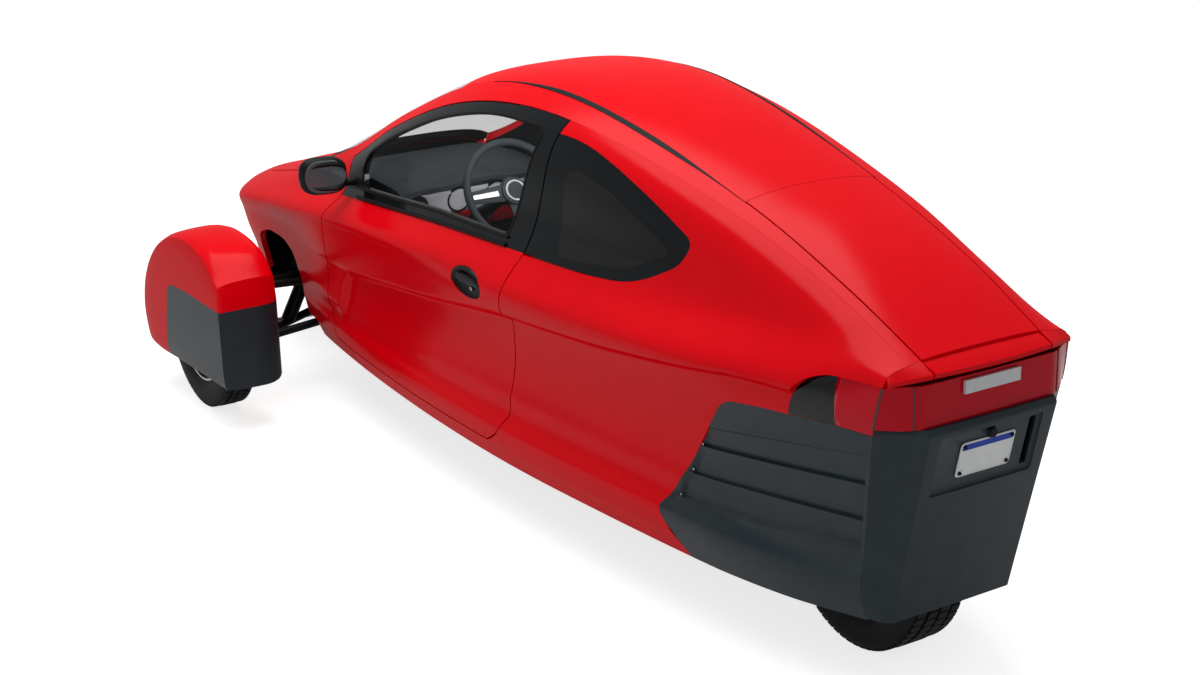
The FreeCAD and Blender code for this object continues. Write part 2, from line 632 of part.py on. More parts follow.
LAMP_PLAN = [(-318, 246), (-334, 210), (-336, 0)]
LAMP_FOOT_Z, LAMP_HEAD_Z = TAIL_HEAD_Z + size("seam"), 892.0
tail_lamp = skinned([wall_loop(LAMP_PLAN, z, 26.0) for z in (LAMP_FOOT_Z, LAMP_HEAD_Z)])
tail_lamp = largest(tail_lamp.cut(pair(strip(TAIL_X, 70, "line", "belt", size("skin")))))
REFLECTOR_WIDTH, REFLECTOR_FOOT, REFLECTOR_HEAD = 184.0, 846.0, 884.0
reflector = block(-345, -336.3, -REFLECTOR_WIDTH / 2, REFLECTOR_WIDTH / 2, REFLECTOR_FOOT, REFLECTOR_HEAD)
keep("tail_lamp", tail_lamp)
keep("reflector", reflector)
LIP_CORNER_X, LIP_SIDE_END_X = -306.0, -345.0
lip_loops = []
tail_points, tail_index = section(TAIL_X)
for y, z in tail_points[tail_index["belt"]:tail_index["drip"] + 1]:
    share = (tail_points[tail_index["belt"]][0] - y) / (290.0 - 192.0)
    edge_x = LIP_CORNER_X + (LIP_SIDE_END_X - LIP_CORNER_X) * share
    edge_z = 908.0 + 12.0 * share
    seat_x = lean(TAIL_X, z) - size("seam")
    lip_loops.append([vec(seat_x, y, z - 1), vec(edge_x, y, edge_z), vec(edge_x, y, edge_z - 15),
                      vec(seat_x, y, z - 20)])
keep("tail_lips", pair(skinned(lip_loops)))

# ---------------------------------------------------------------- cabin

SEATS = [("front", 1330.0, 300.0, 480.0), ("rear", 720.0, 330.0, 420.0)]
pedestals = []
for word, seat_x, seat_z, seat_length in SEATS:
    half = size("seat_width") / 2
    cushion = block(seat_x, seat_x + seat_length, -half, half, seat_z, seat_z + size("seat_cushion"))
    floor_z = max(line_point(x, "sill")[1] for x in (seat_x + 40, seat_x + 380))
    pedestal = block(seat_x + 40, seat_x + 380, -half + 60, half - 60, floor_z, seat_z - 0.3)
    back = block(-size("seat_back"), 0, -half, half, 0, 600)
    back.Placement = FreeCAD.Placement(vec(seat_x + 6, 0, seat_z + 40), FreeCAD.Rotation(vec(0, 1, 0), -14))
    keep("seat_cushion_" + word, cushion.makeFillet(30, cushion.Edges))
    keep("seat_back_" + word, back.makeFillet(30, back.Edges))
    pedestals.append(pedestal)
keep("seat_bases", Part.makeCompound(pedestals))

STEERING_X, STEERING_Z, COLUMN_TILT = 1950.0, 858.0, 62.0
column_dir = vec(math.sin(math.radians(COLUMN_TILT)), 0, -math.cos(math.radians(COLUMN_TILT)))
wheel_centre = vec(STEERING_X, 0, STEERING_Z)
grip = Part.makeTorus(size("steering_wheel_radius"), size("steering_grip_radius"), wheel_centre, column_dir)
hub = Part.makeCylinder(62, 45, wheel_centre - column_dir * 10, column_dir)
solids = [hub]
for turn in (0, 90, 180):
    spoke = Part.makeBox(size("steering_wheel_radius"), 34, 12, vec(0, -17, 8))
    spoke.Placement = FreeCAD.Placement(wheel_centre, FreeCAD.Rotation(vec(0, 0, 1), column_dir)).multiply(
        FreeCAD.Placement(vec(0, 0, 0), FreeCAD.Rotation(vec(0, 0, 1), turn - 90)))
    solids.append(spoke)
keep("steering_wheel", grip.multiFuse(solids))
COLUMN_LENGTH = 560.0
column_start = wheel_centre + column_dir * 35.3
column = Part.makeCylinder(size("column_radius"), COLUMN_LENGTH, column_start, column_dir)
keep("steering_column", column)


def dash_loop(y):
    profile = [(2200, 760), (2185, 830), (2230, 882), (2420, 880), (2699.7, 797), (2699.7, 700), (2420, 660), (2240, 690)]
    return [vec(x, y, z) for x, z in profile]


DASH_HALF = 305.0
dash = skinned([dash_loop(-DASH_HALF), dash_loop(DASH_HALF)])
keep("dashboard", largest(dash.cut(Part.makeCylinder(size("column_radius") + 1, COLUMN_LENGTH + 40, column_start,
                                             column_dir))))

# ---------------------------------------------------------------- front wheels and pods

AXLE_X = size("rear_axle") + size("wheelbase")
AXLE_Z = size("front_tyre_radius")


def revolved(profile, x, z):
    """A closed (y, radius) profile turned about a wheel's axle."""
    wire = Part.makePolygon([vec(x, y, z + r) for y, r in profile + profile[:1]])
    return Part.Face(wire).revolve(vec(x, 0, z), vec(0, 1, 0), 360)


def tyre(middle, width, radius, x, z):
    half, rim, edge = width / 2, size("rim_radius"), 0.55 * (radius - size("rim_radius"))
    outer = [(-half * 0.80, rim), (-half, rim + edge * 0.7), (-half, rim + edge), (-half * 0.80, radius - 8),
             (-half * 0.6, radius)]
    inner = [(half * 0.68, rim), (half * 0.80, rim + edge), (half * 0.55, radius - 14)]
    loop = outer + [(-y, r) for y, r in outer[::-1]] + inner + [(-y, r) for y, r in inner[::-1]]
    return revolved([(middle + y, r) for y, r in loop], x, z)


def rim(middle, width, outboard, bore, x, z):
    """A dished disc wheel with its hub; outboard is the side of the dish."""
    half = width / 2 * 0.80
    seat, hub_r = size("rim_radius") - size("seam"), size("hub_radius")
    loop = [(-half, seat), (half, seat), (half, seat - 10), (20, seat - 18), (14, hub_r + 20), (24, hub_r),
            (24, bore), (-40, bore), (-40, hub_r), (0, hub_r + 16), (2, seat - 22), (-half, seat - 10)]
    return revolved([(middle + outboard * y, r) for y, r in loop], x, z)


# Side view of the pod and of its lower rear cladding, from the front axle and the ground.
POD_PROFILE = [(-379, 168), (-379, 470), (-367, 552), (-289, 622), (-159, 656), (-19, 656), (121, 618),
               (251, 540), (351, 430), (396, 320), (391, 230), (346, 160), (21, 158)]
POD_MIDDLE = (-19.0, 330.0)
POD_CLADDING = [(-479, 0), (-479, 452), (-119, 458), (51, 452), (96, 425), (121, 330), (141, 240), (151, 0)]


def pod_loop(y, scale, wall):
    cx, cz = POD_MIDDLE
    points = []
    for x, z in POD_PROFILE:
        reach = math.hypot(x - cx, z - cz)
        near = scale - wall / reach
        points.append(vec(AXLE_X + cx + (x - cx) * near, y, cz + (z - cz) * near))
    return points


def wheel_pod():
    """A shell over the wheel, open below and at the middle of its inner face."""
    y0, y1, wall = size("pod_inner"), size("pod_outer"), size("pod_wall")
    width = y1 - y0
    rows = [(y0, 0.90), (y0 + 0.10 * width, 0.965), (y0 + 0.30 * width, 1.0), (y0 + 0.62 * width, 1.0),
            (y1 - 0.12 * width, 0.95), (y1, 0.86)]
    outer = skinned([pod_loop(y, scale, 0.0) for y, scale in rows])
    inner_rows = [(y0 + wall, 0.90)] + rows[1:-1] + [(y1 - wall, 0.88)]
    inner = skinned([pod_loop(y, scale, wall) for y, scale in inner_rows])
    mouth = block(AXLE_X - 350, AXLE_X + 355, y0 + wall, y1 - wall, 60, 260)
    window = block(AXLE_X - 165, AXLE_X + 165, y0 - 20, y0 + wall + 1, 60, 470)
    return largest(outer.cut(inner).cut(mouth).cut(window))


pod = wheel_pod()
pod_split = [(AXLE_X + x, z) for x, z in POD_CLADDING]
pod_upper = largest(pod.cut(prism_xz(pod_split, 500, 1000)))
pod_lower = largest(pod.common(prism_xz(pod_split, 500, 1000, -size("seam"))))

kingpin_y = size("kingpin_half_track")
HUB_OUTER = 765.0
BALL_LOW, BALL_HIGH, BALL_RADIUS = 195.0, 405.0, 17.0
PIN_RADIUS, PIN_LENGTH = 14.0, 12.0
CARRIER_Y0, CARRIER_Y1 = 652.0, 676.0


def knuckle():
    """Upright with its stub axle, ball seats, steering arm and the bracket that carries the pod."""
    upright = block(AXLE_X - 30, AXLE_X + 30, CARRIER_Y0, CARRIER_Y1, BALL_LOW - 25, BALL_HIGH + 25)
    stub = Part.makeCylinder(size("axle_radius"), HUB_OUTER - CARRIER_Y1 + 20,
                             vec(AXLE_X, CARRIER_Y1 - 5, AXLE_Z), vec(0, 1, 0))
    bracket = block(AXLE_X - 185, AXLE_X + 185, size("pod_inner") + size("pod_wall") + 0.3, CARRIER_Y1 - 16, 340, 372)
    reach = AXLE_X + size("steering_arm")
    arm = block(AXLE_X + 25, reach + 12, CARRIER_Y0, CARRIER_Y1 - 4, RACK_Z - 12, RACK_Z + 12)
    end = block(reach - 12, reach + 12, 612, CARRIER_Y1 - 4, RACK_Z - 12, RACK_Z + 12)
    ball = Part.makeSphere(12, vec(reach, 612, RACK_Z))
    pins = []
    for z in (BALL_LOW, BALL_HIGH):
        away = -1 if z == BALL_LOW else 1
        foot = z + away * (BALL_RADIUS + 0.3)
        low = min(foot, foot + away * PIN_LENGTH)
        pins.append(Part.makeCylinder(PIN_RADIUS, PIN_LENGTH, vec(AXLE_X, kingpin_y, low)))
        pins.append(block(AXLE_X - PIN_RADIUS, AXLE_X + PIN_RADIUS, kingpin_y, CARRIER_Y0 + 2, low,
                          low + PIN_LENGTH))
    return upright.multiFuse([stub, bracket, arm, end, ball] + pins).removeSplitter()


def wishbone(z, frame_z, spread, frame_y):
    """Two tubes from the frame that meet at the ball under or over the kingpin."""
    ball = vec(AXLE_X, kingpin_y, z)
    legs = [Part.makeSphere(BALL_RADIUS, ball)]
    for dx in (-spread, spread):
        start = vec(AXLE_X + dx, frame_y, frame_z)
        run = ball - start
        legs.append(Part.makeCylinder(size("arm_radius"), run.Length, start, run))
    return legs[0].multiFuse(legs[1:])


knuckle_shape = knuckle()
front_tyre = tyre(size("track") / 2, size("front_tyre_width"), size("front_tyre_radius"), AXLE_X, AXLE_Z)
front_rim = rim(size("track") / 2, size("front_tyre_width"), 1, size("axle_radius") + size("running_gap"), AXLE_X,
                AXLE_Z)
disc_y = size("track") / 2 - 40 - size("disc_thickness")
disc = Part.makeCylinder(size("disc_radius"), size("disc_thickness"), vec(AXLE_X, disc_y, AXLE_Z), vec(0, 1, 0))
disc = disc.cut(Part.makeCylinder(size("axle_radius") + 2, 50, vec(AXLE_X, disc_y - 10, AXLE_Z), vec(0, 1, 0)))
LOWER_FRAME_Z, UPPER_FRAME_Z = 262.0, 400.0
frame_face = FRAME_Y + size("frame_width") / 2 + 3.7
lower_arm = wishbone(BALL_LOW, LOWER_FRAME_Z, 80, frame_face)
upper_arm = wishbone(BALL_HIGH, UPPER_FRAME_Z, 60, 240)
tower = block(AXLE_X - 95, AXLE_X + 95, FRAME_Y, 251.7, FRAME_Z + size("frame_height") + size("seam"), 600)
shock = Part.makeCylinder(26, 345, vec(AXLE_X + 42, 420, 238), vec(0, -168, 320))

for side, word in ((LEFT, "left"), (RIGHT, "right")):
    keep("pod_upper_" + word, on_side(pod_upper, side))
    keep("pod_lower_" + word, on_side(pod_lower, side))
    keep("knuckle_" + word, on_side(knuckle_shape, side))
    keep("tyre_front_" + word, on_side(front_tyre, side))
    keep("rim_front_" + word, on_side(front_rim.fuse(disc), side))

keep("suspension", pair(lower_arm.multiFuse([upper_arm, tower, shock])))

rack_half = 612 - 12 - 0.3
rack = Part.makeCylinder(RACK_RADIUS, 2 * rack_half, vec(AXLE_X + size("steering_arm"), -rack_half, RACK_Z),
                         vec(0, 1, 0))
keep("steering_rack", rack)

# ---------------------------------------------------------------- rear wheel and swing arm

REAR_X, REAR_Z = size("rear_axle"), size("rear_tyre_radius")
rear_tyre = tyre(0, size("rear_tyre_width"), size("rear_tyre_radius"), REAR_X, REAR_Z)
rear_rim = rim(0, size("rear_tyre_width"), 1, size("axle_radius") + size("running_gap"), REAR_X, REAR_Z)
keep("tyre_rear", rear_tyre)
keep("rim_rear", rear_rim)
ARM_Y = 140.0
AXLE_BOSS, PIVOT_BOSS, BOSS_LENGTH = 34.0, 30.0, 60.0
PIVOT_X, PIVOT_Z = REAR_WALL_X - PIVOT_BOSS - size("seam"), 320.0
arms = [Part.makeCylinder(size("axle_radius"), 2 * ARM_Y, vec(REAR_X, -ARM_Y, REAR_Z), vec(0, 1, 0))]
for side in (LEFT, RIGHT):
    start = vec(REAR_X, side * ARM_Y, REAR_Z)
    end = vec(PIVOT_X, side * ARM_Y, PIVOT_Z)
    arms.append(Part.makeCylinder(size("swing_arm_radius"), (end - start).Length, start, end - start))
    for middle, radius in ((start, AXLE_BOSS), (end, PIVOT_BOSS)):
        arms.append(Part.makeCylinder(radius, BOSS_LENGTH, middle - vec(0, BOSS_LENGTH / 2, 0), vec(0, 1, 0)))
keep("swing_arm", arms[0].multiFuse(arms[1:]).removeSplitter())

# ---------------------------------------------------------------- mirrors and door handle

MIRROR_X, MIRROR_Z = 2335.0, 928.0
head = block(MIRROR_X - 32, MIRROR_X + 38, 460, 460 + size("mirror_length"), MIRROR_Z - 50, MIRROR_Z + 50)
head = head.makeFillet(26, head.Edges)
mirror_foot = block(MIRROR_X - 15, MIRROR_X + 25, 300, 500, MIRROR_Z - 52, MIRROR_Z - 12)
mirror_foot = mirror_foot.cut(strip(2200, 2500, "shoulder", "rail", 60))
mirror_foot = max(mirror_foot.Solids, key=lambda solid: solid.CenterOfMass.y)
mirror = head.fuse(mirror_foot).removeSplitter()
mirror.translate(vec(0, size("seam"), 0))
keep("mirror_left", mirror)
keep("mirror_right", mirrored(mirror))

HANDLE_X, HANDLE_Z = 1365.0, 778.0
handle = Part.makeCylinder(46, 20, vec(HANDLE_X, 488, HANDLE_Z), vec(0, 1, 0))
keep("door_handle", handle.cut(door_panel))

# ---------------------------------------------------------------- checks and files

doc.recompute()
for feature in doc.Objects:
    if any(word in feature.State for word in ("Invalid", "Error")):
        raise RuntimeError("%s is %s" % (feature.Name, feature.State))
for feature in parts:
    shape = feature.Shape
    if shape.isNull() or not shape.isValid() or not shape.Solids or shape.Volume <= 0:
        raise RuntimeError("%s has no sound solid" % feature.Label)

os.makedirs("parts", exist_ok=True)
for feature in parts:
    feature.Shape.exportStep("parts/%s.step" % feature.Label)
print("sub-parts written:", len(parts))
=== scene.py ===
# %% [markdown]
# # A narrow three-wheeled car
# The car has one door, two seats in line, two faired wheels in front and one wheel behind.
# The construction gives every solid and every joint, and this lesson gives the looks: smooth
# painted skins, grained plastic, glass, rubber, cloth and light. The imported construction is
# loaded first, so each piece can be placed from it.

import math
from contextlib import contextmanager

import bmesh
import bpy
import numpy as np
from mathutils import Matrix, Vector


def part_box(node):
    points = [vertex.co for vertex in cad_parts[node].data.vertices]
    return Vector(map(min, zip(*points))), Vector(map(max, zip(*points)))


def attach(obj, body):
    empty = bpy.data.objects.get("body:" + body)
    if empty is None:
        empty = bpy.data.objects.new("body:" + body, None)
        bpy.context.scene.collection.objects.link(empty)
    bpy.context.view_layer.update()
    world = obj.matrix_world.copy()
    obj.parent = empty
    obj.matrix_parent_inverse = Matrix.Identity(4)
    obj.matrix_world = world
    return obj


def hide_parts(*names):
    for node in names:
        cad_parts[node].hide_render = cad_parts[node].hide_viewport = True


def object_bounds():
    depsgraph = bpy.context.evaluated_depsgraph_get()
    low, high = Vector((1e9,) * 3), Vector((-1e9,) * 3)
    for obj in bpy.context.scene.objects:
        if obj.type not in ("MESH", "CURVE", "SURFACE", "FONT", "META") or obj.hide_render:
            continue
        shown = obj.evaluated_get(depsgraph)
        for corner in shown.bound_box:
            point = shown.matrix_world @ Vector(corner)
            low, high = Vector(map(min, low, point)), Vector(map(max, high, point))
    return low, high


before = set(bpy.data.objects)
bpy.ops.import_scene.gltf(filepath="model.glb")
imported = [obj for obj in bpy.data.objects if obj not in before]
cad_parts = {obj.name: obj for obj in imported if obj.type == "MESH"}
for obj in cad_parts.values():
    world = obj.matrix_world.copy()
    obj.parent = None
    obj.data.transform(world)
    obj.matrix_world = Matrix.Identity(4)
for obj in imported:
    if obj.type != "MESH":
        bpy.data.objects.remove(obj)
cad_low, cad_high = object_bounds()
NOSE_TIP = 3717.0
MIDDLE = NOSE_TIP - cad_high[0] * 1000
print("construction box", [round(v, 3) for v in cad_low], [round(v, 3) for v in cad_high])

# %% [markdown]
# ## Camera
# The car is seen from behind on its left, from a little above, with a long lens. The direction
# is built from a heading, a downward tilt and a small roll, so each can be changed alone.

# %% Camera
CAMERA_AT = Vector((-5.5081, 3.2932, 2.5845))
HEADING, TILT, ROLL = -0.5587, -0.3254, -0.0246
LENS, SENSOR = 62.32, 36.0

scene = bpy.context.scene
camera_data = bpy.data.cameras.new("studio_camera")
camera_data.lens, camera_data.sensor_width = LENS, SENSOR
camera = bpy.data.objects.new("studio_camera", camera_data)
scene.collection.objects.link(camera)
view = Vector((math.cos(HEADING) * math.cos(TILT), math.sin(HEADING) * math.cos(TILT), math.sin(TILT)))
level = Vector((math.sin(HEADING), -math.cos(HEADING), 0.0))
upright = level.cross(view)
right = math.cos(ROLL) * level + math.sin(ROLL) * upright
up = math.cos(ROLL) * upright - math.sin(ROLL) * level
camera.matrix_world = Matrix.Translation(CAMERA_AT) @ Matrix((right, up, -view)).transposed().to_4x4()
scene.camera = camera
scene.view_settings.view_transform = "Standard"
print("camera", round(CAMERA_AT.length, 2), "m from the origin")

# %% [markdown]
# ## Materials
# One function turns a written colour into the linear one that the shader wants, and one adds a
# node with its settings and links. A third makes the plain start of every material: a shader
# with its colour, roughness and metal, and Object coordinates for the patterns.

# %% Node helpers
MM = 0.001


def linear(code):
    """An sRGB hex colour as linear red, green, blue and full alpha."""
    parts = [int(code[i:i + 2], 16) / 255 for i in (1, 3, 5)]
    return [v / 12.92 if v <= 0.04045 else ((v + 0.055) / 1.055) ** 2.4 for v in parts] + [1.0]


def add_node(tree, kind, inputs=(), **settings):
    """Add a node; inputs are socket: value or socket: another node's output."""
    node = tree.nodes.new(kind)
    for key, value in settings.items():
        setattr(node, key, value)
    for socket, value in dict(inputs).items():
        if isinstance(value, bpy.types.NodeSocket):
            tree.links.new(value, node.inputs[socket])
        else:
            node.inputs[socket].default_value = value
    return node


def start_material(name, colour, roughness, metallic=0.0, **sockets):
    """A material with its main shader; returns it with its node tree, shader and coordinates."""
    made = bpy.data.materials.new(name)
    made.use_nodes = True
    tree = made.node_tree
    shader = tree.nodes["Principled BSDF"]
    shader.inputs["Base Color"].default_value = linear(colour)
    shader.inputs["Roughness"].default_value = roughness
    shader.inputs["Metallic"].default_value = metallic
    for socket, value in sockets.items():
        shader.inputs[socket.replace("_", " ")].default_value = value
    coords = add_node(tree, "ShaderNodeTexCoord").outputs["Object"]
    return made, tree, shader, coords


# %% [markdown]
# Solid red car enamel is a pigmented base under a clear coat. The coat has the faint ripple
# that sprayed paint dries with, about 6 mm across, which softens straight reflections a little.

# %% Red enamel
enamel, tree, shader, coords = start_material("red_car_enamel", "#dc000f", 0.5, Coat_Weight=0.24,
                                              Coat_Roughness=0.2, Specular_IOR_Level=0.0)
ripple = add_node(tree, "ShaderNodeTexNoise", {"Vector": coords, "Scale": 1 / (6 * MM), "Detail": 1.0})
peel = add_node(tree, "ShaderNodeBump", {"Height": ripple.outputs["Fac"], "Strength": 0.02,
                                         "Distance": 0.2 * MM})
tree.links.new(peel.outputs["Normal"], shader.inputs["Coat Normal"])
mottle = add_node(tree, "ShaderNodeTexNoise", {"Vector": coords, "Scale": 1 / (90 * MM)})
depth = add_node(tree, "ShaderNodeValToRGB", {"Fac": mottle.outputs["Fac"]})
depth.color_ramp.elements[0].color = linear("#d9000d")
depth.color_ramp.elements[1].color = linear("#e20012")
tree.links.new(depth.outputs["Color"], shader.inputs["Base Color"])

# %% [markdown]
# The cladding is injection-moulded polypropylene, dyed slate grey all through, with a leather-like
# grain about 1.6 mm across pressed into it by the mould. The grain breaks up the shine.

# %% Grained plastics


def grained(name, colour, pale, roughness, grain, height, shine=0.12):
    """Moulded plastic with a pebbled grain of that size in millimetres."""
    made, tree, shader, coords = start_material(name, colour, roughness, Specular_IOR_Level=shine)
    cells = add_node(tree, "ShaderNodeTexVoronoi", {"Vector": coords, "Scale": 1 / (grain * MM)})
    press = add_node(tree, "ShaderNodeBump", {"Height": cells.outputs["Distance"], "Strength": 0.25,
                                              "Distance": height * MM})
    tree.links.new(press.outputs["Normal"], shader.inputs["Normal"])
    cloud = add_node(tree, "ShaderNodeTexNoise", {"Vector": coords, "Scale": 1 / (60 * MM), "Detail": 6.0})
    tone = add_node(tree, "ShaderNodeValToRGB", {"Fac": cloud.outputs["Fac"]})
    tone.color_ramp.elements[0].position, tone.color_ramp.elements[1].position = 0.35, 0.7
    tone.color_ramp.elements[0].color, tone.color_ramp.elements[1].color = linear(colour), linear(pale)
    tree.links.new(tone.outputs["Color"], shader.inputs["Base Color"])
    return made


slate = grained("slate_grained_polypropylene", "#1b272d", "#202d33", 0.42, 1.6, 0.06, 0.26)
black_abs = grained("black_moulded_abs", "#0d0f10", "#121415", 0.4, 0.9, 0.05)
soft_trim = grained("black_soft_touch_trim", "#34383b", "#3c4043", 0.6, 1.2, 0.02)
pale_trim = grained("pale_grey_moulded_abs", "#c4c6c9", "#cdcfd2", 0.38, 0.9, 0.02)
headlining = grained("grey_knit_headlining", "#4a4c4f", "#55575a", 0.9, 1.8, 0.3)

# %% [markdown]
# Car glass is toughened float glass: thin, hard and almost clear, with a faint grey tint. A black
# ceramic band is fired on round the fixed panes. Thin glass lets light through at once, so the
# clear part is made by alpha, which keeps the cabin bright, and the band is solid.

# %% Glass
side_glass = start_material("toughened_side_glass", "#1b2022", 0.03, Alpha=0.1, Specular_IOR_Level=0.3)[0]
screen_glass = start_material("laminated_screen_glass", "#1c2423", 0.03, Alpha=0.25,
                              Specular_IOR_Level=0.3)[0]
privacy = start_material("tinted_privacy_glass", "#090b0c", 0.04, Alpha=0.8, Specular_IOR_Level=0.35)[0]
ceramic, tree, shader, coords = start_material("ceramic_black_band", "#0c1114", 0.12, Specular_IOR_Level=0.15)
dots = add_node(tree, "ShaderNodeTexNoise", {"Vector": coords, "Scale": 1 / (40 * MM)})
haze = add_node(tree, "ShaderNodeMapRange", {"Value": dots.outputs["Fac"], "To Min": 0.07, "To Max": 0.13})
tree.links.new(haze.outputs["Result"], shader.inputs["Roughness"])

# %% [markdown]
# The rear lamps have red polycarbonate lenses over a darker housing. Fine ribs inside a real lens
# scatter light, so the lens is nearly solid and the dark housing shows through it only a little.

# %% Lamp plastics
red_lens, tree, shader, coords = start_material("red_polycarbonate_lens", "#c8001c", 0.08, Alpha=0.92,
                                                Specular_IOR_Level=0.15)
ribs = add_node(tree, "ShaderNodeTexWave", {"Vector": coords, "Scale": 1 / (20 * MM)}, bands_direction="Y")
ribbed = add_node(tree, "ShaderNodeBump", {"Height": ribs.outputs["Fac"], "Strength": 0.05,
                                           "Distance": 0.3 * MM})
tree.links.new(ribbed.outputs["Normal"], shader.inputs["Normal"])
lamp_housing, tree, shader, coords = start_material("dark_red_lamp_housing", "#4a0009", 0.3)
sheen = add_node(tree, "ShaderNodeTexNoise", {"Vector": coords, "Scale": 1 / (30 * MM)})
fade = add_node(tree, "ShaderNodeValToRGB", {"Fac": sheen.outputs["Fac"]})
fade.color_ramp.elements[0].color, fade.color_ramp.elements[1].color = linear("#380007"), linear("#6a0410")
tree.links.new(fade.outputs["Color"], shader.inputs["Base Color"])
clear_lens, tree, shader, coords = start_material("clear_prismatic_acrylic", "#c9cdd0", 0.2, Coat_Weight=0.6,
                                                  Coat_Roughness=0.05)
prisms = add_node(tree, "ShaderNodeTexVoronoi", {"Vector": coords, "Scale": 1 / (4 * MM)})
facet = add_node(tree, "ShaderNodeBump", {"Height": prisms.outputs["Distance"], "Strength": 0.3,
                                          "Distance": 0.4 * MM})
tree.links.new(facet.outputs["Normal"], shader.inputs["Normal"])

# %% [markdown]
# The metals are turned, cast or painted steel and aluminium. A fine noise in the roughness stands
# for machining and handling marks, and the tyres are carbon-black rubber, dull and slightly dusty.

# %% Metals and rubber


def metal(name, colour, roughness, spread, mark):
    """Metal whose roughness wanders by spread over marks of that size in millimetres."""
    made, tree, shader, coords = start_material(name, colour, roughness, metallic=1.0)
    noise = add_node(tree, "ShaderNodeTexNoise", {"Vector": coords, "Scale": 1 / (mark * MM), "Detail": 4.0})
    links = {"Value": noise.outputs["Fac"], "To Min": roughness - spread, "To Max": roughness + spread}
    wander = add_node(tree, "ShaderNodeMapRange", links)
    tree.links.new(wander.outputs["Result"], shader.inputs["Roughness"])
    return made


cast_aluminium = metal("cast_aluminium", "#a9abad", 0.38, 0.1, 8)
zinc_steel = metal("zinc_plated_steel", "#9b9c98", 0.32, 0.12, 5)
wheel_silver = metal("silver_painted_steel", "#b4b6b8", 0.3, 0.06, 12)
chassis_black = grained("black_epoxy_coated_steel", "#0b0c0d", "#101112", 0.35, 2.5, 0.05)
plate_white = grained("white_embossed_aluminium", "#e3e5e6", "#eceeee", 0.3, 1.5, 0.02)
seal_rubber = grained("black_epdm_seal", "#060606", "#0a0a0a", 0.5, 3, 0.03)
rubber, tree, shader, coords = start_material("carbon_black_rubber", "#0c0c0d", 0.62, Specular_IOR_Level=0.2)
dust = add_node(tree, "ShaderNodeTexNoise", {"Vector": coords, "Scale": 1 / (25 * MM), "Detail": 8.0})
dusty = add_node(tree, "ShaderNodeValToRGB", {"Fac": dust.outputs["Fac"]})
dusty.color_ramp.elements[0].position = 0.4
dusty.color_ramp.elements[0].color, dusty.color_ramp.elements[1].color = linear("#0b0b0c"), linear("#1a1a1b")
tree.links.new(dusty.outputs["Color"], shader.inputs["Base Color"])

# %% [markdown]
# The seats have a grey woven cloth. Two waves, one along each way of the cloth, are multiplied
# into a weave whose cells are 6 mm wide. That is much wider than real threads, so that they show.

# %% Seat cloth
fabric, tree, shader, coords = start_material("grey_woven_seat_cloth", "#33363a", 0.85, Sheen_Weight=0.4,
                                              Sheen_Roughness=0.5)
waves = {}
for i, way in enumerate("XY"):
    links = {"Vector": coords, "Scale": 1 / (19 * MM)}
    waves[i] = add_node(tree, "ShaderNodeTexWave", links, bands_direction=way).outputs["Fac"]
cross = add_node(tree, "ShaderNodeMath", waves, operation="MULTIPLY")
threads = add_node(tree, "ShaderNodeBump", {"Height": cross.outputs["Value"], "Strength": 0.4,
                                            "Distance": 0.4 * MM})
tree.links.new(threads.outputs["Normal"], shader.inputs["Normal"])
print("materials", len(bpy.data.materials))

# %% [markdown]
# ## The body's surface
# The skins of a car are one flowing surface that is cut into panels. Here it is drawn as it is in
# the construction: ten lines run from tail to nose, from the sill up to the crown of the roof,
# and each is a smooth curve through its half-width and height at fourteen stations. Between
# lines the section is a smooth curve too. The same table gives the same body, so each painted
# skin lands on its solid, only much finer.

# %% Lengthwise lines, in millimetres from the rear datum
STATION_COLUMNS = (
    "x sill_y sill_z crease_y crease_z waist_y waist_z line_y line_z shoulder_y shoulder_z "
    "belt_y belt_z rail_y rail_z drip_y drip_z crown_z"
).split()
STATIONS = np.array([
    (-290, 225, 215, 268, 335, 270, 410, 292, 640, 304, 850, 290, 915, 225, 936, 192, 942, 948),
    (0, 300, 212, 350, 340, 330, 420, 338, 660, 360, 845, 330, 920, 235, 1055, 205, 1064, 1080),
    (350, 350, 208, 415, 355, 375, 440, 385, 675, 425, 845, 375, 925, 262, 1172, 214, 1185, 1205),
    (900, 400, 205, 462, 350, 415, 440, 425, 680, 475, 835, 420, 918, 305, 1282, 238, 1312, 1340),
    (1300, 425, 205, 480, 345, 435, 435, 440, 675, 497, 822, 436, 903, 325, 1303, 252, 1346, 1377),
    (1700, 430, 208, 480, 340, 440, 430, 445, 670, 500, 805, 436, 880, 335, 1243, 265, 1292, 1330),
    (2100, 420, 215, 465, 340, 432, 430, 438, 660, 487, 778, 425, 845, 345, 1100, 292, 1140, 1186),
    (2450, 400, 225, 440, 345, 418, 430, 425, 640, 468, 745, 405, 810, 352, 925, 318, 968, 1030),
    (2750, 370, 235, 410, 360, 398, 440, 408, 610, 445, 705, 388, 765, 345, 828, 318, 855, 885),
    (3100, 320, 260, 350, 370, 362, 450, 378, 570, 402, 650, 352, 700, 290, 745, 250, 767, 787),
    (3450, 260, 262, 292, 372, 318, 450, 335, 530, 350, 592, 300, 632, 225, 665, 180, 677, 687),
    (3620, 190, 285, 218, 375, 242, 445, 262, 510, 268, 560, 225, 598, 165, 622, 125, 631, 637),
    (3700, 100, 335, 118, 400, 134, 440, 150, 490, 152, 525, 125, 552, 92, 570, 68, 577, 580),
    (3717, 50, 370, 62, 410, 72, 440, 80, 480, 80, 505, 66, 525, 50, 537, 36, 542, 545),
], float)
LINES = ["sill", "fold", "crease", "waist", "line", "shoulder", "belt", "rail", "drip", "crown"]
SHARP = {"sill", "fold", "crease"}
FINE = {"sill": 4, "fold": 4, "crease": 18, "waist": 36, "line": 26, "shoulder": 8, "belt": 24,
        "rail": 5, "drip": 14}
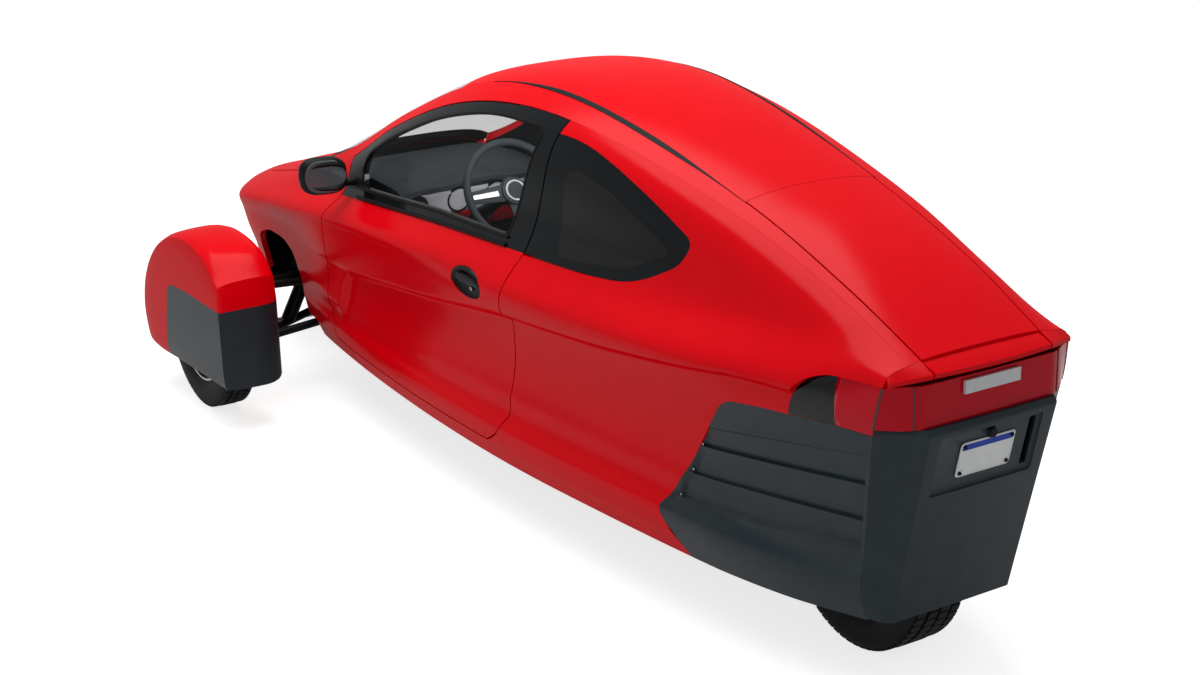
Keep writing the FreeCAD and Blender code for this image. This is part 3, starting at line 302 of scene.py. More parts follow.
TAIL_X, LEAN, LEAN_FROM_Z, LEAN_ENDS_X = -290.0, 0.19, 905.0, 310.0


def hermite(a, b, slope_a, slope_b, t):
    """A smooth curve from a to b with those slopes at its ends."""
    return ((2 * t ** 3 - 3 * t ** 2 + 1) * a + (t ** 3 - 2 * t ** 2 + t) * slope_a
            + (3 * t ** 2 - 2 * t ** 3) * b + (t ** 3 - t ** 2) * slope_b)


def along(x, column):
    """One column of the table at every x, on a smooth curve through the stations."""
    at, value = STATIONS[:, 0], STATIONS[:, STATION_COLUMNS.index(column)]
    run = np.concatenate([[at[1] - at[0]], at[2:] - at[:-2], [at[-1] - at[-2]]])
    rise = np.concatenate([[value[1] - value[0]], value[2:] - value[:-2], [value[-1] - value[-2]]])
    slope = rise / run
    i = np.clip(np.searchsorted(at, x, side="left") - 1, 0, len(at) - 2)
    span = at[i + 1] - at[i]
    t = np.clip((x - at[i]) / span, -0.2, 1.0)
    return hermite(value[i], value[i + 1], slope[i] * span, slope[i + 1] * span, t)


def line_points(x):
    """Half-width and height of every line at every x, as an array of stations by lines."""
    x = np.asarray(x, float)
    rows = []
    for name in LINES:
        if name == "crown":
            rows.append(np.stack([np.zeros_like(x), along(x, "crown_z")], -1))
        elif name != "fold":
            rows.append(np.stack([along(x, name + "_y"), along(x, name + "_z")], -1))
    sill, crease = rows[0], rows[1]
    fold = np.stack([0.45 * sill[:, 0] + 0.55 * crease[:, 0] + 6.0, (sill[:, 1] + crease[:, 1]) / 2], -1)
    return np.stack([sill, fold] + rows[1:], 1)


def inward(keys, thickness):
    """The lines moved into the car by that thickness, square to the section."""
    chord = keys[:, 1:] - keys[:, :-1]
    chord /= np.linalg.norm(chord, axis=2, keepdims=True)
    normal = np.stack([chord[:, :, 1], -chord[:, :, 0]], -1)
    before = np.concatenate([normal[:, :1], normal], 1)
    after = np.concatenate([normal, normal[:, -1:]], 1)
    before[:, -1] = after[:, -1] = (0.0, 1.0)
    mean = before + after
    mean /= np.linalg.norm(mean, axis=2, keepdims=True)
    reach = thickness / np.maximum((mean * before).sum(2, keepdims=True), 0.8)
    return keys - mean * reach


def place(points):
    """Millimetres from the rear datum to the car's own frame, in metres."""
    return (np.asarray(points, float) - (MIDDLE, 0, 0)) * MM


print("lines", len(LINES), "stations", len(STATIONS))

# %% [markdown]
# A panel is taken between two lines and two places along the car. The side is not a plain
# curve: the door and the rear quarter have a long pressed hollow, with a lip along its top
# and a front end that curves down just behind the door's front edge. Both are small moves of the
# points, square to the car's middle plane, and they fade out smoothly.

# %% Sections and the pressed hollow
HOLLOW_DEPTH, HOLLOW_EDGE, HOLLOW_CORNER = 30.0, 13.0, 55.0
HOLLOW_FRONT_X, HOLLOW_FRONT_AT, HOLLOW_FRONT_SLOPE = (2290.0, 2520.0), (2368, 525), 0.312
LIP_X, LIP_Z = (-290, 164, 755, 1227, 1754, 2320), (830, 817, 747, 708, 632, 565)
ABOVE_FADE, AHEAD_FADE, FOOT_FADE = (20, 150), (60, 700), (10, 110)
TAIL_FADE_X, SHOULDER_FADE_X = (-290, -40), (2500, 3000)
LEDGE, LEDGE_FADE_X = 3.6, (2200, 2700)


def smooth_step(value, start, end):
    """From 0 at start to 1 at end, flat at both."""
    t = np.clip((value - start) / (end - start), 0.0, 1.0)
    return t * t * (3 - 2 * t)


def tangents(before, here, after, length):
    """The direction of the curve at a soft line, scaled to the length of the span."""
    p = np.linalg.norm(here - before, axis=1, keepdims=True)
    q = np.linalg.norm(after - here, axis=1, keepdims=True)
    way = (here - before) / p * q + (after - here) / q * p
    return way / np.linalg.norm(way, axis=1, keepdims=True) * length


def hollow_move(x, points, crease_z, shoulder):
    """How far the side stands out round the hollow: full above its lip, and ahead of its front."""
    z, x_row = points[:, :, 1], x[:, None]
    lip_z = np.interp(x, LIP_X, LIP_Z)
    below = lip_z[:, None] - z
    behind = HOLLOW_FRONT_AT[0] + (HOLLOW_FRONT_AT[1] - z) * HOLLOW_FRONT_SLOPE - x_row
    short = np.hypot(np.maximum(HOLLOW_CORNER - below, 0), np.maximum(HOLLOW_CORNER - behind, 0))
    depth = np.where(np.minimum(below, behind) > HOLLOW_CORNER, HOLLOW_CORNER, HOLLOW_CORNER - short)
    at_tail = smooth_step(x_row, *TAIL_FADE_X)
    raised = 1 - smooth_step(depth, -HOLLOW_EDGE, HOLLOW_EDGE)
    raised *= (1 - smooth_step(-below, *ABOVE_FADE)) * (1 - smooth_step(-behind, *AHEAD_FADE))
    raised *= smooth_step(z, crease_z[:, None] + FOOT_FADE[0], crease_z[:, None] + FOOT_FADE[1]) * at_tail
    raised *= HOLLOW_DEPTH
    top_y, top_z = shoulder.T[:, :, None]
    lip_y = np.array([np.interp(h, row[:, 1], row[:, 0]) for h, row in zip(lip_z, points)])[:, None]
    share = np.clip((top_z - z) / (top_z - lip_z[:, None]), 0.0, 1.0)
    full = top_y - (top_y - lip_y - HOLLOW_DEPTH) * share ** 1.5 - points[:, :, 0]
    full *= smooth_step(-below, -HOLLOW_EDGE, HOLLOW_EDGE) * (z < top_z) * at_tail
    full *= 1 - smooth_step(x_row, *SHOULDER_FADE_X)
    return np.maximum(raised, full)


def sections(x, first, last, inset=0.0, fine=FINE):
    """Points from line first to line last at every x: an array of stations by points by (y, z)."""
    x = np.asarray(x, float)
    keys = line_points(x)
    crease_z = keys[:, LINES.index("crease"), 1]
    if inset:
        keys = inward(keys, inset)
    keys = np.concatenate([keys, keys[:, -2:-1] * (-1, 1)], 1)
    points = []
    ledge = 1 + LEDGE * (1 - smooth_step(x, *LEDGE_FADE_X))
    start, end = LINES.index(first), LINES.index(last)
    for i in range(start, end):
        a, b = keys[:, i], keys[:, i + 1]
        slope_a = slope_b = b - a
        length = np.linalg.norm(b - a, axis=1, keepdims=True)
        if LINES[i] not in SHARP:
            slope_a = tangents(keys[:, i - 1], a, b, length)
        if LINES[i] == "drip":
            slope_a = slope_a * np.minimum(1.0, 3 * (b - a)[:, 1:] / slope_a[:, 1:])
        if LINES[i + 1] not in SHARP:
            slope_b = tangents(a, b, keys[:, i + 2], length)
        for t in np.arange(fine[LINES[i]]) / fine[LINES[i]]:
            point = hermite(a, b, slope_a, slope_b, t)
            if LINES[i] == "crease":
                point[:, 0] = b[:, 0] + (a[:, 0] - b[:, 0]) * (1 - t) ** ledge
            points.append(point)
    points = np.stack(points + [keys[:, end]], 1)
    for _ in range(4):
        points[:, 1:-1] = (points[:, :-2] + 2 * points[:, 1:-1] + points[:, 2:]) / 4
    if start <= LINES.index("waist") < end:
        points[:, :, 0] += hollow_move(x, points, crease_z, keys[:, LINES.index("shoulder")])
    return points


def leaned(x, section):
    """Sections as points in space; near the tail they lean forward at the foot."""
    share = np.clip((LEAN_ENDS_X - x) / (LEAN_ENDS_X - TAIL_X), 0.0, 1.0)
    y, z = section[:, :, 0], section[:, :, 1]
    return np.stack([x[:, None] + LEAN * (LEAN_FROM_Z - z) * share[:, None], y, z], -1)


def trimmed(section, first, last):
    """Each section shortened at its ends by those distances, with its points spread again."""
    if not first and not last:
        return section
    short = np.empty_like(section)
    for row, points in enumerate(section):
        length = np.concatenate([[0], np.cumsum(np.linalg.norm(points[1:] - points[:-1], axis=1))])
        at = first + (length / length[-1]) * (length[-1] - first - last)
        for axis in (0, 1):
            short[row, :, axis] = np.interp(at, length, points[:, axis])
    return short


def whole_width(section):
    """A section that ends on the crown, carried on down the other side."""
    return np.concatenate([section, section[:, -2::-1] * (-1, 1)], 1)


print("section points", sections([1000.0], "sill", "crown").shape[1])

# %% [markdown]
# A panel is a closed shell: an outer skin, an inner skin and a rim between them. The inner skin
# gets its own material, because the inside of a car is trimmed and not painted. Openings are cut
# with a Boolean modifier from outlines in side view, whose corners are rounded first, and edges
# steeper than a set angle are kept crisp while the rest shade smoothly.

# %% Meshes
CRISP_DEGREES = 32


def new_piece(name, vertices, faces, materials, face_material=None):
    """An object with that mesh, linked to the scene."""
    mesh = bpy.data.meshes.new(name)
    mesh.from_pydata([tuple(v) for v in vertices], [], [tuple(map(int, face)) for face in faces])
    for material in materials:
        mesh.materials.append(material)
    if face_material is not None:
        mesh.polygons.foreach_set("material_index", face_material)
    piece = bpy.data.objects.new(name, mesh)
    scene.collection.objects.link(piece)
    return piece


def copied(piece, name):
    """A copy of the piece with a mesh of its own."""
    copy = bpy.data.objects.new(name, piece.data.copy())
    scene.collection.objects.link(copy)
    return copy


def mirrored(piece, name):
    """A copy of the piece on the other side of the car."""
    copy = copied(piece, name)
    copy.data.transform(Matrix.Scale(-1, 4, Vector((0, 1, 0))))
    copy.data.flip_normals()
    return copy


def joined(name, pieces):
    """Several pieces as one, with their materials kept."""
    with bpy.context.temp_override(active_object=pieces[0], selected_editable_objects=pieces,
                                   selected_objects=pieces, object=pieces[0]):
        bpy.ops.object.join()
    pieces[0].name = name
    return pieces[0]


def paired(name, piece):
    """The piece and its mirror image as one."""
    return joined(name, [piece, mirrored(piece, name + "_right")])


@contextmanager
def edited(piece):
    """The piece's mesh open for editing, and written back at the end."""
    work = bmesh.new()
    work.from_mesh(piece.data)
    yield work
    work.to_mesh(piece.data)
    work.free()


def finish_mesh(piece, crisp=CRISP_DEGREES, merge=0.00002):
    """Doubles merged, faces turned outwards, smooth shading with edges crisp above that angle."""
    with edited(piece) as work:
        bmesh.ops.remove_doubles(work, verts=work.verts, dist=merge)
        bmesh.ops.dissolve_degenerate(work, edges=work.edges, dist=merge)
        bmesh.ops.recalc_face_normals(work, faces=work.faces)
        for face in work.faces:
            face.smooth = True
        for edge in work.edges:
            edge.smooth = not (edge.is_manifold and edge.calc_face_angle(0.0) > math.radians(crisp))
    return piece


def baked(piece):
    """Apply every modifier and keep a plain mesh."""
    graph = bpy.context.evaluated_depsgraph_get()
    mesh = bpy.data.meshes.new_from_object(piece.evaluated_get(graph))
    piece.modifiers.clear()
    old, piece.data = piece.data, mesh
    bpy.data.meshes.remove(old)
    return piece


# %% [markdown]
# Shells, swept forms and strips are all grids of points in millimetres. A strip is taken from the
# sections, with its stations closer together round the front end of the hollow.

# %% Shells and swept forms
STATION_STEP, CLOSE_STEP = 20.0, 6.0


def shell(name, outer, inner, materials):
    """A closed shell from two matching grids of points, in millimetres from the datum."""
    n, m = outer.shape[:2]
    index = np.arange(n * m).reshape(n, m)
    quads = np.stack([index[:-1, :-1], index[1:, :-1], index[1:, 1:], index[:-1, 1:]], -1).reshape(-1, 4)
    rim = np.concatenate([index[0], index[1:, -1], index[-1, -2::-1], index[-2::-1, 0]])
    walls = [(a, b, b + n * m, a + n * m) for a, b in zip(rim[:-1], rim[1:])]
    faces = [*quads, *(quads[:, ::-1] + n * m), *walls]
    slots = [0] * len(quads) + [len(materials) - 1] * len(quads) + [0] * len(walls)
    points = place(np.concatenate([outer.reshape(-1, 3), inner.reshape(-1, 3)]))
    return finish_mesh(new_piece(name, points, faces, materials, slots))


def across(name, profiles, materials):
    """A closed form whose profiles follow each other, with flat ends; millimetres."""
    profiles = np.array(profiles, float)
    index = np.arange(profiles.shape[0] * profiles.shape[1]).reshape(profiles.shape[:2])
    turned_on = np.roll(index, -1, 1)
    quads = np.stack([index[:-1], index[1:], turned_on[1:], turned_on[:-1]], -1).reshape(-1, 4)
    faces = [*quads, index[0], index[-1][::-1]]
    return finish_mesh(new_piece(name, place(profiles.reshape(-1, 3)), faces, materials))


def strip(name, x0, x1, first, last, thickness, materials, trim_first=0.0, trim_last=0.0, sink=0.0):
    """A panel between two lines and two places; one that ends at the crown spans the car."""
    x = np.linspace(x0, x1, max(round((x1 - x0) / STATION_STEP), 2) + 1)
    if first == "fold" and x0 < HOLLOW_FRONT_X[1] and x1 > HOLLOW_FRONT_X[0]:
        close = np.arange(max(x0, HOLLOW_FRONT_X[0]), min(x1, HOLLOW_FRONT_X[1]), CLOSE_STEP)
        x = np.concatenate([x[x < close[0] - 4], close, x[x > close[-1] + 4]])
    skins = []
    for inset in (sink, sink + thickness):
        section = trimmed(sections(x, first, last, inset), trim_first, trim_last)
        skins.append(leaned(x, whole_width(section) if last == "crown" else section))
    return shell(name, skins[0], skins[1], materials)


# %% [markdown]
# The cutters are side-view outlines pulled across the car. What is left after a cut keeps only
# its largest loose part, so that no crumbs stay behind.

# %% Outlines and cuts

def round_angles(count):
    """That many angles round a full turn."""
    return np.linspace(0, 2 * math.pi, count, endpoint=False)


def eased(a, corner, b, steps):
    """Points of a short curve from a to b that bends towards the corner."""
    return [(1 - t) ** 2 * a + 2 * t * (1 - t) * corner + t * t * b for t in np.linspace(0, 1, steps)]


def rounded(outline, radius, steps=7):
    """The outline with each corner replaced by a short curve of about that radius, or its own."""
    points = np.array(outline, float)
    radii = np.broadcast_to(radius, len(points))
    smooth = []
    for before, here, after, radius in zip(np.roll(points, 1, 0), points, np.roll(points, -1, 0), radii):
        back, on = before - here, after - here
        reach = min(radius, 0.48 * np.linalg.norm(back), 0.48 * np.linalg.norm(on))
        a, b = (here + way / np.linalg.norm(way) * reach for way in (back, on))
        smooth += eased(a, here, b, steps)
    return np.array(smooth)


def grown(outline, distance):
    """The outline with its edges moved outward by that distance."""
    points = np.array(outline, float)
    turned_on = np.roll(points, -1, 0)
    area = (points[:, 0] * turned_on[:, 1] - turned_on[:, 0] * points[:, 1]).sum()
    edge = turned_on - points
    normal = np.stack([edge[:, 1], -edge[:, 0]], -1) * (1.0 if area > 0 else -1.0)
    normal /= np.linalg.norm(normal, axis=1, keepdims=True)
    mean = normal + np.roll(normal, 1, 0)
    mean /= np.linalg.norm(mean, axis=1, keepdims=True)
    return points + mean * distance / np.maximum((mean * normal).sum(1, keepdims=True), 0.5)


def slab(name, points, material):
    """A closed form from one ring of points, followed by a matching ring."""
    count = len(points) // 2
    faces = [range(count), range(2 * count - 1, count - 1, -1)]
    faces += [(i, i + count, (i + 1) % count + count, (i + 1) % count) for i in range(count)]
    return finish_mesh(new_piece(name, points, faces, [material]))


def prism(outline, near, far, material):
    """A side-view outline pulled across the car from one half-width to the other."""
    return slab("cutter", place([(x, y, z) for y in (near, far) for x, z in outline]), material)


def block(low, high, material):
    """A plain block between two corners, in millimetres."""
    outline = [(low[0], low[2]), (high[0], low[2]), (high[0], high[2]), (low[0], high[2])]
    return prism(outline, low[1], high[1], material)


def cut(piece, cutter, operation="DIFFERENCE"):
    """Cut piece with cutter (DIFFERENCE) or keep what is inside it (INTERSECT)."""
    modifier = piece.modifiers.new("cut", "BOOLEAN")
    modifier.operation, modifier.solver, modifier.object = operation, "EXACT", cutter
    modifier.material_mode = "INDEX"
    baked(piece)
    bpy.data.objects.remove(cutter)
    return piece


def cut_side(piece, outline, operation="DIFFERENCE"):
    """Cut the left side's piece with an outline in side view."""
    return cut(piece, prism(outline, NEAR, FAR, piece.data.materials[0]), operation)


def tidied(piece, crisp=CRISP_DEGREES):
    """Only the largest loose part of a cut piece, finished."""
    with edited(piece) as work:
        left, groups = set(work.verts), []
        while left:
            stack, group = [left.pop()], []
            while stack:
                vertex = stack.pop()
                group.append(vertex)
                for edge in vertex.link_edges:
                    other = edge.other_vert(vertex)
                    if other in left:
                        left.remove(other)
                        stack.append(other)
            groups.append(group)
        groups.sort(key=len)
        for group in groups[:-1]:
            bmesh.ops.delete(work, geom=group, context="VERTS")
    return finish_mesh(piece, crisp)


def stands_for(piece, body, slot, *nodes):
    """The finished piece moves with its body and replaces those construction nodes."""
    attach(piece, body)
    if nodes:
        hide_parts(*nodes)
    triangles = sum(len(p.vertices) - 2 for p in piece.data.polygons)
    print(piece.name, "rides on", body, "with", triangles, "triangles")
    return piece


ROOT = "body"

# %% [markdown]
# ## Where the panels meet
# Door, windows, cladding and lamps are outlines in side view, much as the construction cuts
# them. The pieces are drawn on the left and mirrored, and only the left side has a door.

# %% Outlines in side view, in millimetres
DOOR = [(1380, 268), (1262, 335), (1262, 480), (1218, 690), (1165, 790), (1155, 905), (1100, 1120),
        (1045, 1400), (2390, 1400), (2405, 930), (2400, 820), (2455, 740), (2497, 560), (2505, 400),
        (2480, 300), (2430, 262), (1450, 250)]
SIDE_WINDOW = [(1262, 935), (1190, 1130), (1135, 1266), (1420, 1266), (1750, 1195), (2080, 1070),
               (2250, 985), (2285, 930), (2262, 868), (1700, 918)]
QUARTER_GLASS = [(1232, 903), (1170, 1266), (960, 1262), (800, 1225), (600, 1160), (430, 1088),
                 (470, 1020), (640, 935), (900, 912)]
CLEAR_PART = [(1000, 1170), (940, 1186), (800, 1158), (640, 1100), (520, 1052), (535, 1030), (690, 965),
              (900, 940), (1000, 935)]
CLADDING = [(-500, 120), (-500, 768), (-160, 762), (100, 742), (215, 728), (262, 700), (360, 560),
            (430, 450), (490, 352), (440, 255), (385, 120)]
LAMP = [(-500, 768.8), (-500, 892), (-130, 890), (-70, 868), (-20, 815), (5, 750.5), (-160, 762.8)]
ARCH = [(2790, 100), (2780, 290), (2805, 400), (2880, 490), (3000, 525), (3180, 518), (3310, 470),
        (3345, 380), (3320, 260), (3320, 100)]
NEAR, FAR, GAP, LID_GAP, SEAM = 120.0, 700.0, 5.0, 1.5, 0.4
SKIN, DOOR_THICKNESS, PANE = 22.0, 40.0, 5.0
ROOF_FRONT_X, ROOF_REAR_X, GLASS_FRONT_X, HOOD_REAR_X, NOSE_X = 1780.0, 372.0, 2690.0, 2745.0, 3400.0
door_line = rounded(DOOR, 60)
window_line = rounded(SIDE_WINDOW, (28, 90, 40, 150, 160, 120, 60, 30, 28, 250))
quarter_line = rounded(QUARTER_GLASS, (5, 5, 110, 110, 110, 35, 35, 90, 130))
cladding_line, arch_line = rounded(CLADDING, 22), rounded(ARCH, 60)
lamp_line = rounded(LAMP, (9, 9, 25, 25, 25, 9, 9))
print("points round the door", len(door_line), "and its window", len(window_line))

# %% [markdown]
# The painted sides are stamped sheet with a trimmed inner face. Each wall is one strip from the
# fold of the sill up to the roof rail, and the openings are cut from it.

# %% Side walls
PAINT = [enamel, soft_trim]


def open_wall(name, x0, x1, cuts):
    """A wall of the body's side with its openings cut."""
    wall = strip(name, x0, x1, "fold", "rail", SKIN, PAINT, trim_last=SEAM)
    for outline, gap in cuts:
        cut_side(wall, grown(outline, gap))
    return tidied(wall)


rear_cuts = [(cladding_line, SEAM), (lamp_line, SEAM), (quarter_line, SEAM)]
quarter = open_wall("quarter_skin_left", TAIL_X, 1420, rear_cuts + [(door_line, GAP)])
stands_for(quarter, ROOT, "red_paint", "quarter_left")
fender = open_wall("fender_skin_left", 2360, NOSE_X, [(door_line, GAP + 1.5), (arch_line, 0.0)])
stands_for(fender, ROOT, "red_paint", "fender_left")
far_side = open_wall("side_skin", TAIL_X, NOSE_X, rear_cuts + [(window_line, SEAM), (arch_line, 0.0)])
right_side = mirrored(far_side, "side_skin_right")
bpy.data.objects.remove(far_side)
stands_for(right_side, ROOT, "red_paint", "side_right")

# %% [markdown]
# The sill turns under between the fold and its lower edge, and the roof rail is one long pressing
# from the tail over the doors down to the windscreen's foot.

# %% Sills and roof rails
sill = strip("sill_left", 385, 2700, "sill", "fold", 30.0, PAINT, trim_last=SEAM)
cut_side(sill, grown(cladding_line, SEAM))
stands_for(paired("sills", tidied(sill)), ROOT, "red_paint", "rockers")
rail = strip("roof_rail_left", TAIL_X, GLASS_FRONT_X, "rail", "drip", 33.0, PAINT)
stands_for(paired("roof_rail_skins", rail), ROOT, "red_paint", "roof_rails")

# %% [markdown]
# The roof, the windscreen, the scuttle below it and the hood are strips that span the car.

# %% Roof, screen, scuttle and hood
roof = strip("roof_skin", ROOF_REAR_X + LID_GAP, ROOF_FRONT_X, "drip", "crown", SKIN, [enamel, headlining],
             trim_first=SEAM)
stands_for(roof, ROOT, "red_paint", "roof_panel")
screen = strip("windscreen_pane", ROOF_FRONT_X + SEAM, GLASS_FRONT_X, "drip", "crown", PANE, [screen_glass],
               trim_first=SEAM, sink=1.0)
stands_for(screen, ROOT, "clear_glass", "windscreen")
scuttle = strip("scuttle_panel", GLASS_FRONT_X + SEAM, HOOD_REAR_X, "drip", "crown", SKIN, [black_abs])
stands_for(scuttle, ROOT, "black_plastic", "cowl")
hood_skin = strip("hood_skin", HOOD_REAR_X + GAP, NOSE_X - GAP, "rail", "crown", SKIN, PAINT, trim_first=GAP)
stands_for(hood_skin, "hood", "red_paint", "hood")

# %% [markdown]
# The door is a thick painted panel with a black frame over it, and the window sits in the frame.
# Its front is thinned on the inside, where it swings past the fender, and an oval well holds the
# handle.

# %% Door
HANDLE_X, HANDLE_Y, HANDLE_Z = 1374.0, 493.0, 777.0
WELL_LENGTH, WELL_HEIGHT, WELL_DEPTH = 92, 45, 24
door_skin = strip("door_skin", 1040, 2560, "fold", "belt", DOOR_THICKNESS, PAINT, trim_first=GAP,
                  trim_last=SEAM)
cut_side(door_skin, door_line, "INTERSECT")
cut(door_skin, strip("hinge_relief", 2452, 2560, "fold", "belt", 60.0, [soft_trim], sink=9.0))
oval = [(HANDLE_X + WELL_LENGTH * math.cos(a), HANDLE_Z + WELL_HEIGHT * math.sin(a))
        for a in round_angles(48)]
cut(door_skin, prism(oval, HANDLE_Y - WELL_DEPTH, FAR, enamel))
stands_for(tidied(door_skin), "door", "red_paint", "door_panel")
door_top = strip("door_window_frame", 1000, 2560, "belt", "rail", SKIN, [ceramic, soft_trim], trim_last=GAP)
cut_side(door_top, door_line, "INTERSECT")
cut_side(door_top, grown(window_line, SEAM))
stands_for(tidied(door_top), "door", "black_plastic", "door_frame")

# %% [markdown]
# The door's window and the one across from it are clear panes. The fixed rear panes have a
# wide black band round a deeply tinted middle.

# %% Windows
pane = strip("door_window_pane", 1080, 2450, "belt", "rail", PANE, [side_glass], trim_last=GAP, sink=4.0)
tidied(cut_side(pane, window_line, "INTERSECT"))
far_pane = mirrored(pane, "fixed_window_pane_right")
stands_for(pane, "door", "clear_glass", "door_glass")
stands_for(far_pane, ROOT, "clear_glass", "window_glass_right")
quarter_pane = strip("quarter_pane_left", 400, 1260, "belt", "rail", PANE, [ceramic], trim_last=SEAM,
                     sink=1.0)
cut_side(quarter_pane, quarter_line, "INTERSECT")
tidied(cut_side(quarter_pane, grown(door_line, GAP)))
middle = copied(quarter_pane, "middle")
cut_side(quarter_pane, rounded(CLEAR_PART, 30))
cut_side(middle, rounded(CLEAR_PART, 30), "INTERSECT")
middle.data.materials[0] = privacy
near_panes = joined("quarter_panes_near", [finish_mesh(quarter_pane), finish_mesh(middle)])
stands_for(paired("quarter_panes", near_panes), ROOT, "tinted_glass", "quarter_glass")

# %% [markdown]
# The rear lid lies between the roof's drip lines. The nose closes the body in front: its rings
# crowd together towards the tip, and a round hole on each side takes the headlamp.

# %% Rear lid and nose
LAMP_MIDDLE, LAMP_RADIUS, LAMP_DEPTH = (3500, 175, 518), 52.6, 320
LAMP_AXES = ((1, 0.5, 0.1), (-0.5, 1, 0), (-0.1, -0.05, 1.25))
NOSE_WALL_SHARE, NOSE_HEART_Z = 0.93, 450
lid = strip("rear_lid_skin", TAIL_X, ROOF_REAR_X, "drip", "crown", SKIN, PAINT, trim_first=GAP)
tip_x = NOSE_TIP - np.array([75, 55, 40, 28, 18, 10, 4, 0])
nose_x = np.concatenate([np.linspace(NOSE_X, NOSE_TIP - 100, 14), tip_x])
outer = sections(nose_x, "sill", "crown")
inner = outer * NOSE_WALL_SHARE + np.array([0, (1 - NOSE_WALL_SHARE) * NOSE_HEART_Z])
outer, inner = (leaned(nose_x, whole_width(section)) for section in (outer, inner))
inner[:, :, 0] = np.minimum(inner[:, :, 0], NOSE_TIP - 8)
nose_skin = shell("nose_skin", outer, inner, PAINT)
cap = new_piece("nose_cap", place(outer[-1]), [range(outer.shape[1])], [enamel])
nose_skin = finish_mesh(joined("nose_skin", [nose_skin, cap]), merge=0.0001)
axis, round_y, round_z = (np.array(way) / np.linalg.norm(way) for way in LAMP_AXES)
for side in (1, -1):
    rings = [[(LAMP_MIDDLE + axis * far + LAMP_RADIUS * (round_y * math.cos(a) + round_z * math.sin(a)))
              * (1, side, 1) for a in round_angles(48)] for far in (0, LAMP_DEPTH)]
    cut(nose_skin, across("headlamp_hole", rings, [black_abs]))
stands_for(tidied(nose_skin), ROOT, "red_paint", "nose")

# %% [markdown]
# ## Cladding
# The lower rear sides are slate plastic shells. Each has a shallow sunk field with three boards:
# every board leans out towards its top, so that a thin ledge catches the light where the next
# one starts. The rows of the mesh follow those ledges, which keeps them straight and crisp.

# %% Side cladding
BOARD_LINES = [(388, 0.077, 440), (465, 0.076, 410), (552, 0.107, 377), (616, 0.143, 335)]
BOARD_DEPTH, BOARD_RISE, BOARD_EDGE, CLADDING_HEAD_Z = 13.0, 0.72, 1.5, 800.0
FIELD_END_X, FIELD_END_Z, FIELD_END_SLOPE = 335.0, 616.0, 0.473


def board_height(x, board):
    """Height of that board's lower edge at x."""
    height, rise, start = BOARD_LINES[board]
    return height + (start - x) * rise


def field_end(z):
    """Where the sunk field ends in front, at a height."""
    return FIELD_END_X + (FIELD_END_Z - z) * FIELD_END_SLOPE


def cladding_levels(x):
    """Heights of the mesh rows at x, with how far each is sunk below the plain surface."""
    foot, first, last = line_points([x])[0, 0, 1], board_height(x, 0), board_height(x, 3)
    z = [foot + (first - 2 * BOARD_EDGE - foot) * t for t in np.linspace(0, 1, 24, endpoint=False)]
    sunk = [0.0] * len(z)
    for board in range(3):
        low, high = board_height(x, board), board_height(x, board + 1)
        for t in np.linspace(0, 1, 9):
            z.append(low + BOARD_EDGE + (high - 2 * BOARD_EDGE - low) * t)
            sunk.append(BOARD_DEPTH * (1 - BOARD_RISE * t))
    above = [last + (CLADDING_HEAD_Z - last) * t for t in np.linspace(0.02, 1, 14)]
    return np.array(z + above), np.array(sunk + [0.0] * len(above))


def cladding_skin(x, inset, sunken):
    """The side's surface on those rows, with the boards sunk into it if asked."""
    rows = []
    for station, section in zip(x, sections(x, "sill", "shoulder", inset)):
        z, sunk = cladding_levels(station)
        y = np.interp(z, section[:, 1], section[:, 0])
        end = field_end(z)
        inside = (1 - smooth_step(station, end - 9, end + 1)) * smooth_step(station, TAIL_X + 14, TAIL_X + 20)
        rows.append(np.stack([y - sunk * inside if sunken else y, z], -1))
    return leaned(x, np.array(rows))


clad_x = np.concatenate([np.linspace(TAIL_X, -260, 7), np.arange(-248, 520, 9.0)])
outer, inner = cladding_skin(clad_x, 0.0, True), cladding_skin(clad_x, 18.0, False)
clad = shell("cladding_shell_left", outer, inner, [slate])
tidied(cut_side(clad, cladding_line, "INTERSECT"), crisp=20)
stands_for(mirrored(clad, "cladding_shell_right"), ROOT, "slate_plastic", "cladding_right")
stands_for(clad, ROOT, "slate_plastic", "cladding_left")

# %% [markdown]
# The tail is one moulding. In plan it has a plain strip at each corner, then a short step out to
# the raised middle panel, and it leans forward towards the ground. The number plate sits in a
# shallow recess with a ledge below it and a slot beside it.

# %% Tail moulding
TAIL_HEAD = [(-266, 300), (-312, 236), (-322, 226), (-358, 208), (-360, 0)]
TAIL_FOOT = [(-160, 228), (-200, 216), (-206, 210), (-222, 194), (-224, 0)]
HEAD_Z, FOOT_Z, TAIL_WALL, CORNER_WALL = 780.0, 222.0, 18.0, 22.0
side_edge = sections([TAIL_X], "sill", "belt")[0]


def tail_corner(z):
    """The rear edge of the body's side at a height: its place along and half-width."""
    return TAIL_X + LEAN * (LEAN_FROM_Z - z) - SEAM, np.interp(z, side_edge[:, 1], side_edge[:, 0])


def to_corners(ring, z):
    """A ring of plan points whose two ends are moved onto the body's rear edges, at that height."""
    x, y = tail_corner(z)
    ring = ring.copy()
    ring[0], ring[-1] = (x, y), (x, -y)
    return np.column_stack([ring, np.full(len(ring), z)])


def tail_plan(points, softness):
    """The plan of the tail from corner to corner, each bend eased over that length."""
    run = np.array(points + [(x, -y) for x, y in points[-2::-1]], float)
    plan = [run[0]]
    for before, here, after in zip(run[:-2], run[1:-1], run[2:]):
        ways = (before - here, after - here)
        a, b = (here + way * min(softness / np.linalg.norm(way), 0.45) for way in ways)
        plan += eased(a, here, b, 5)
    return np.array(plan + [run[-1]])


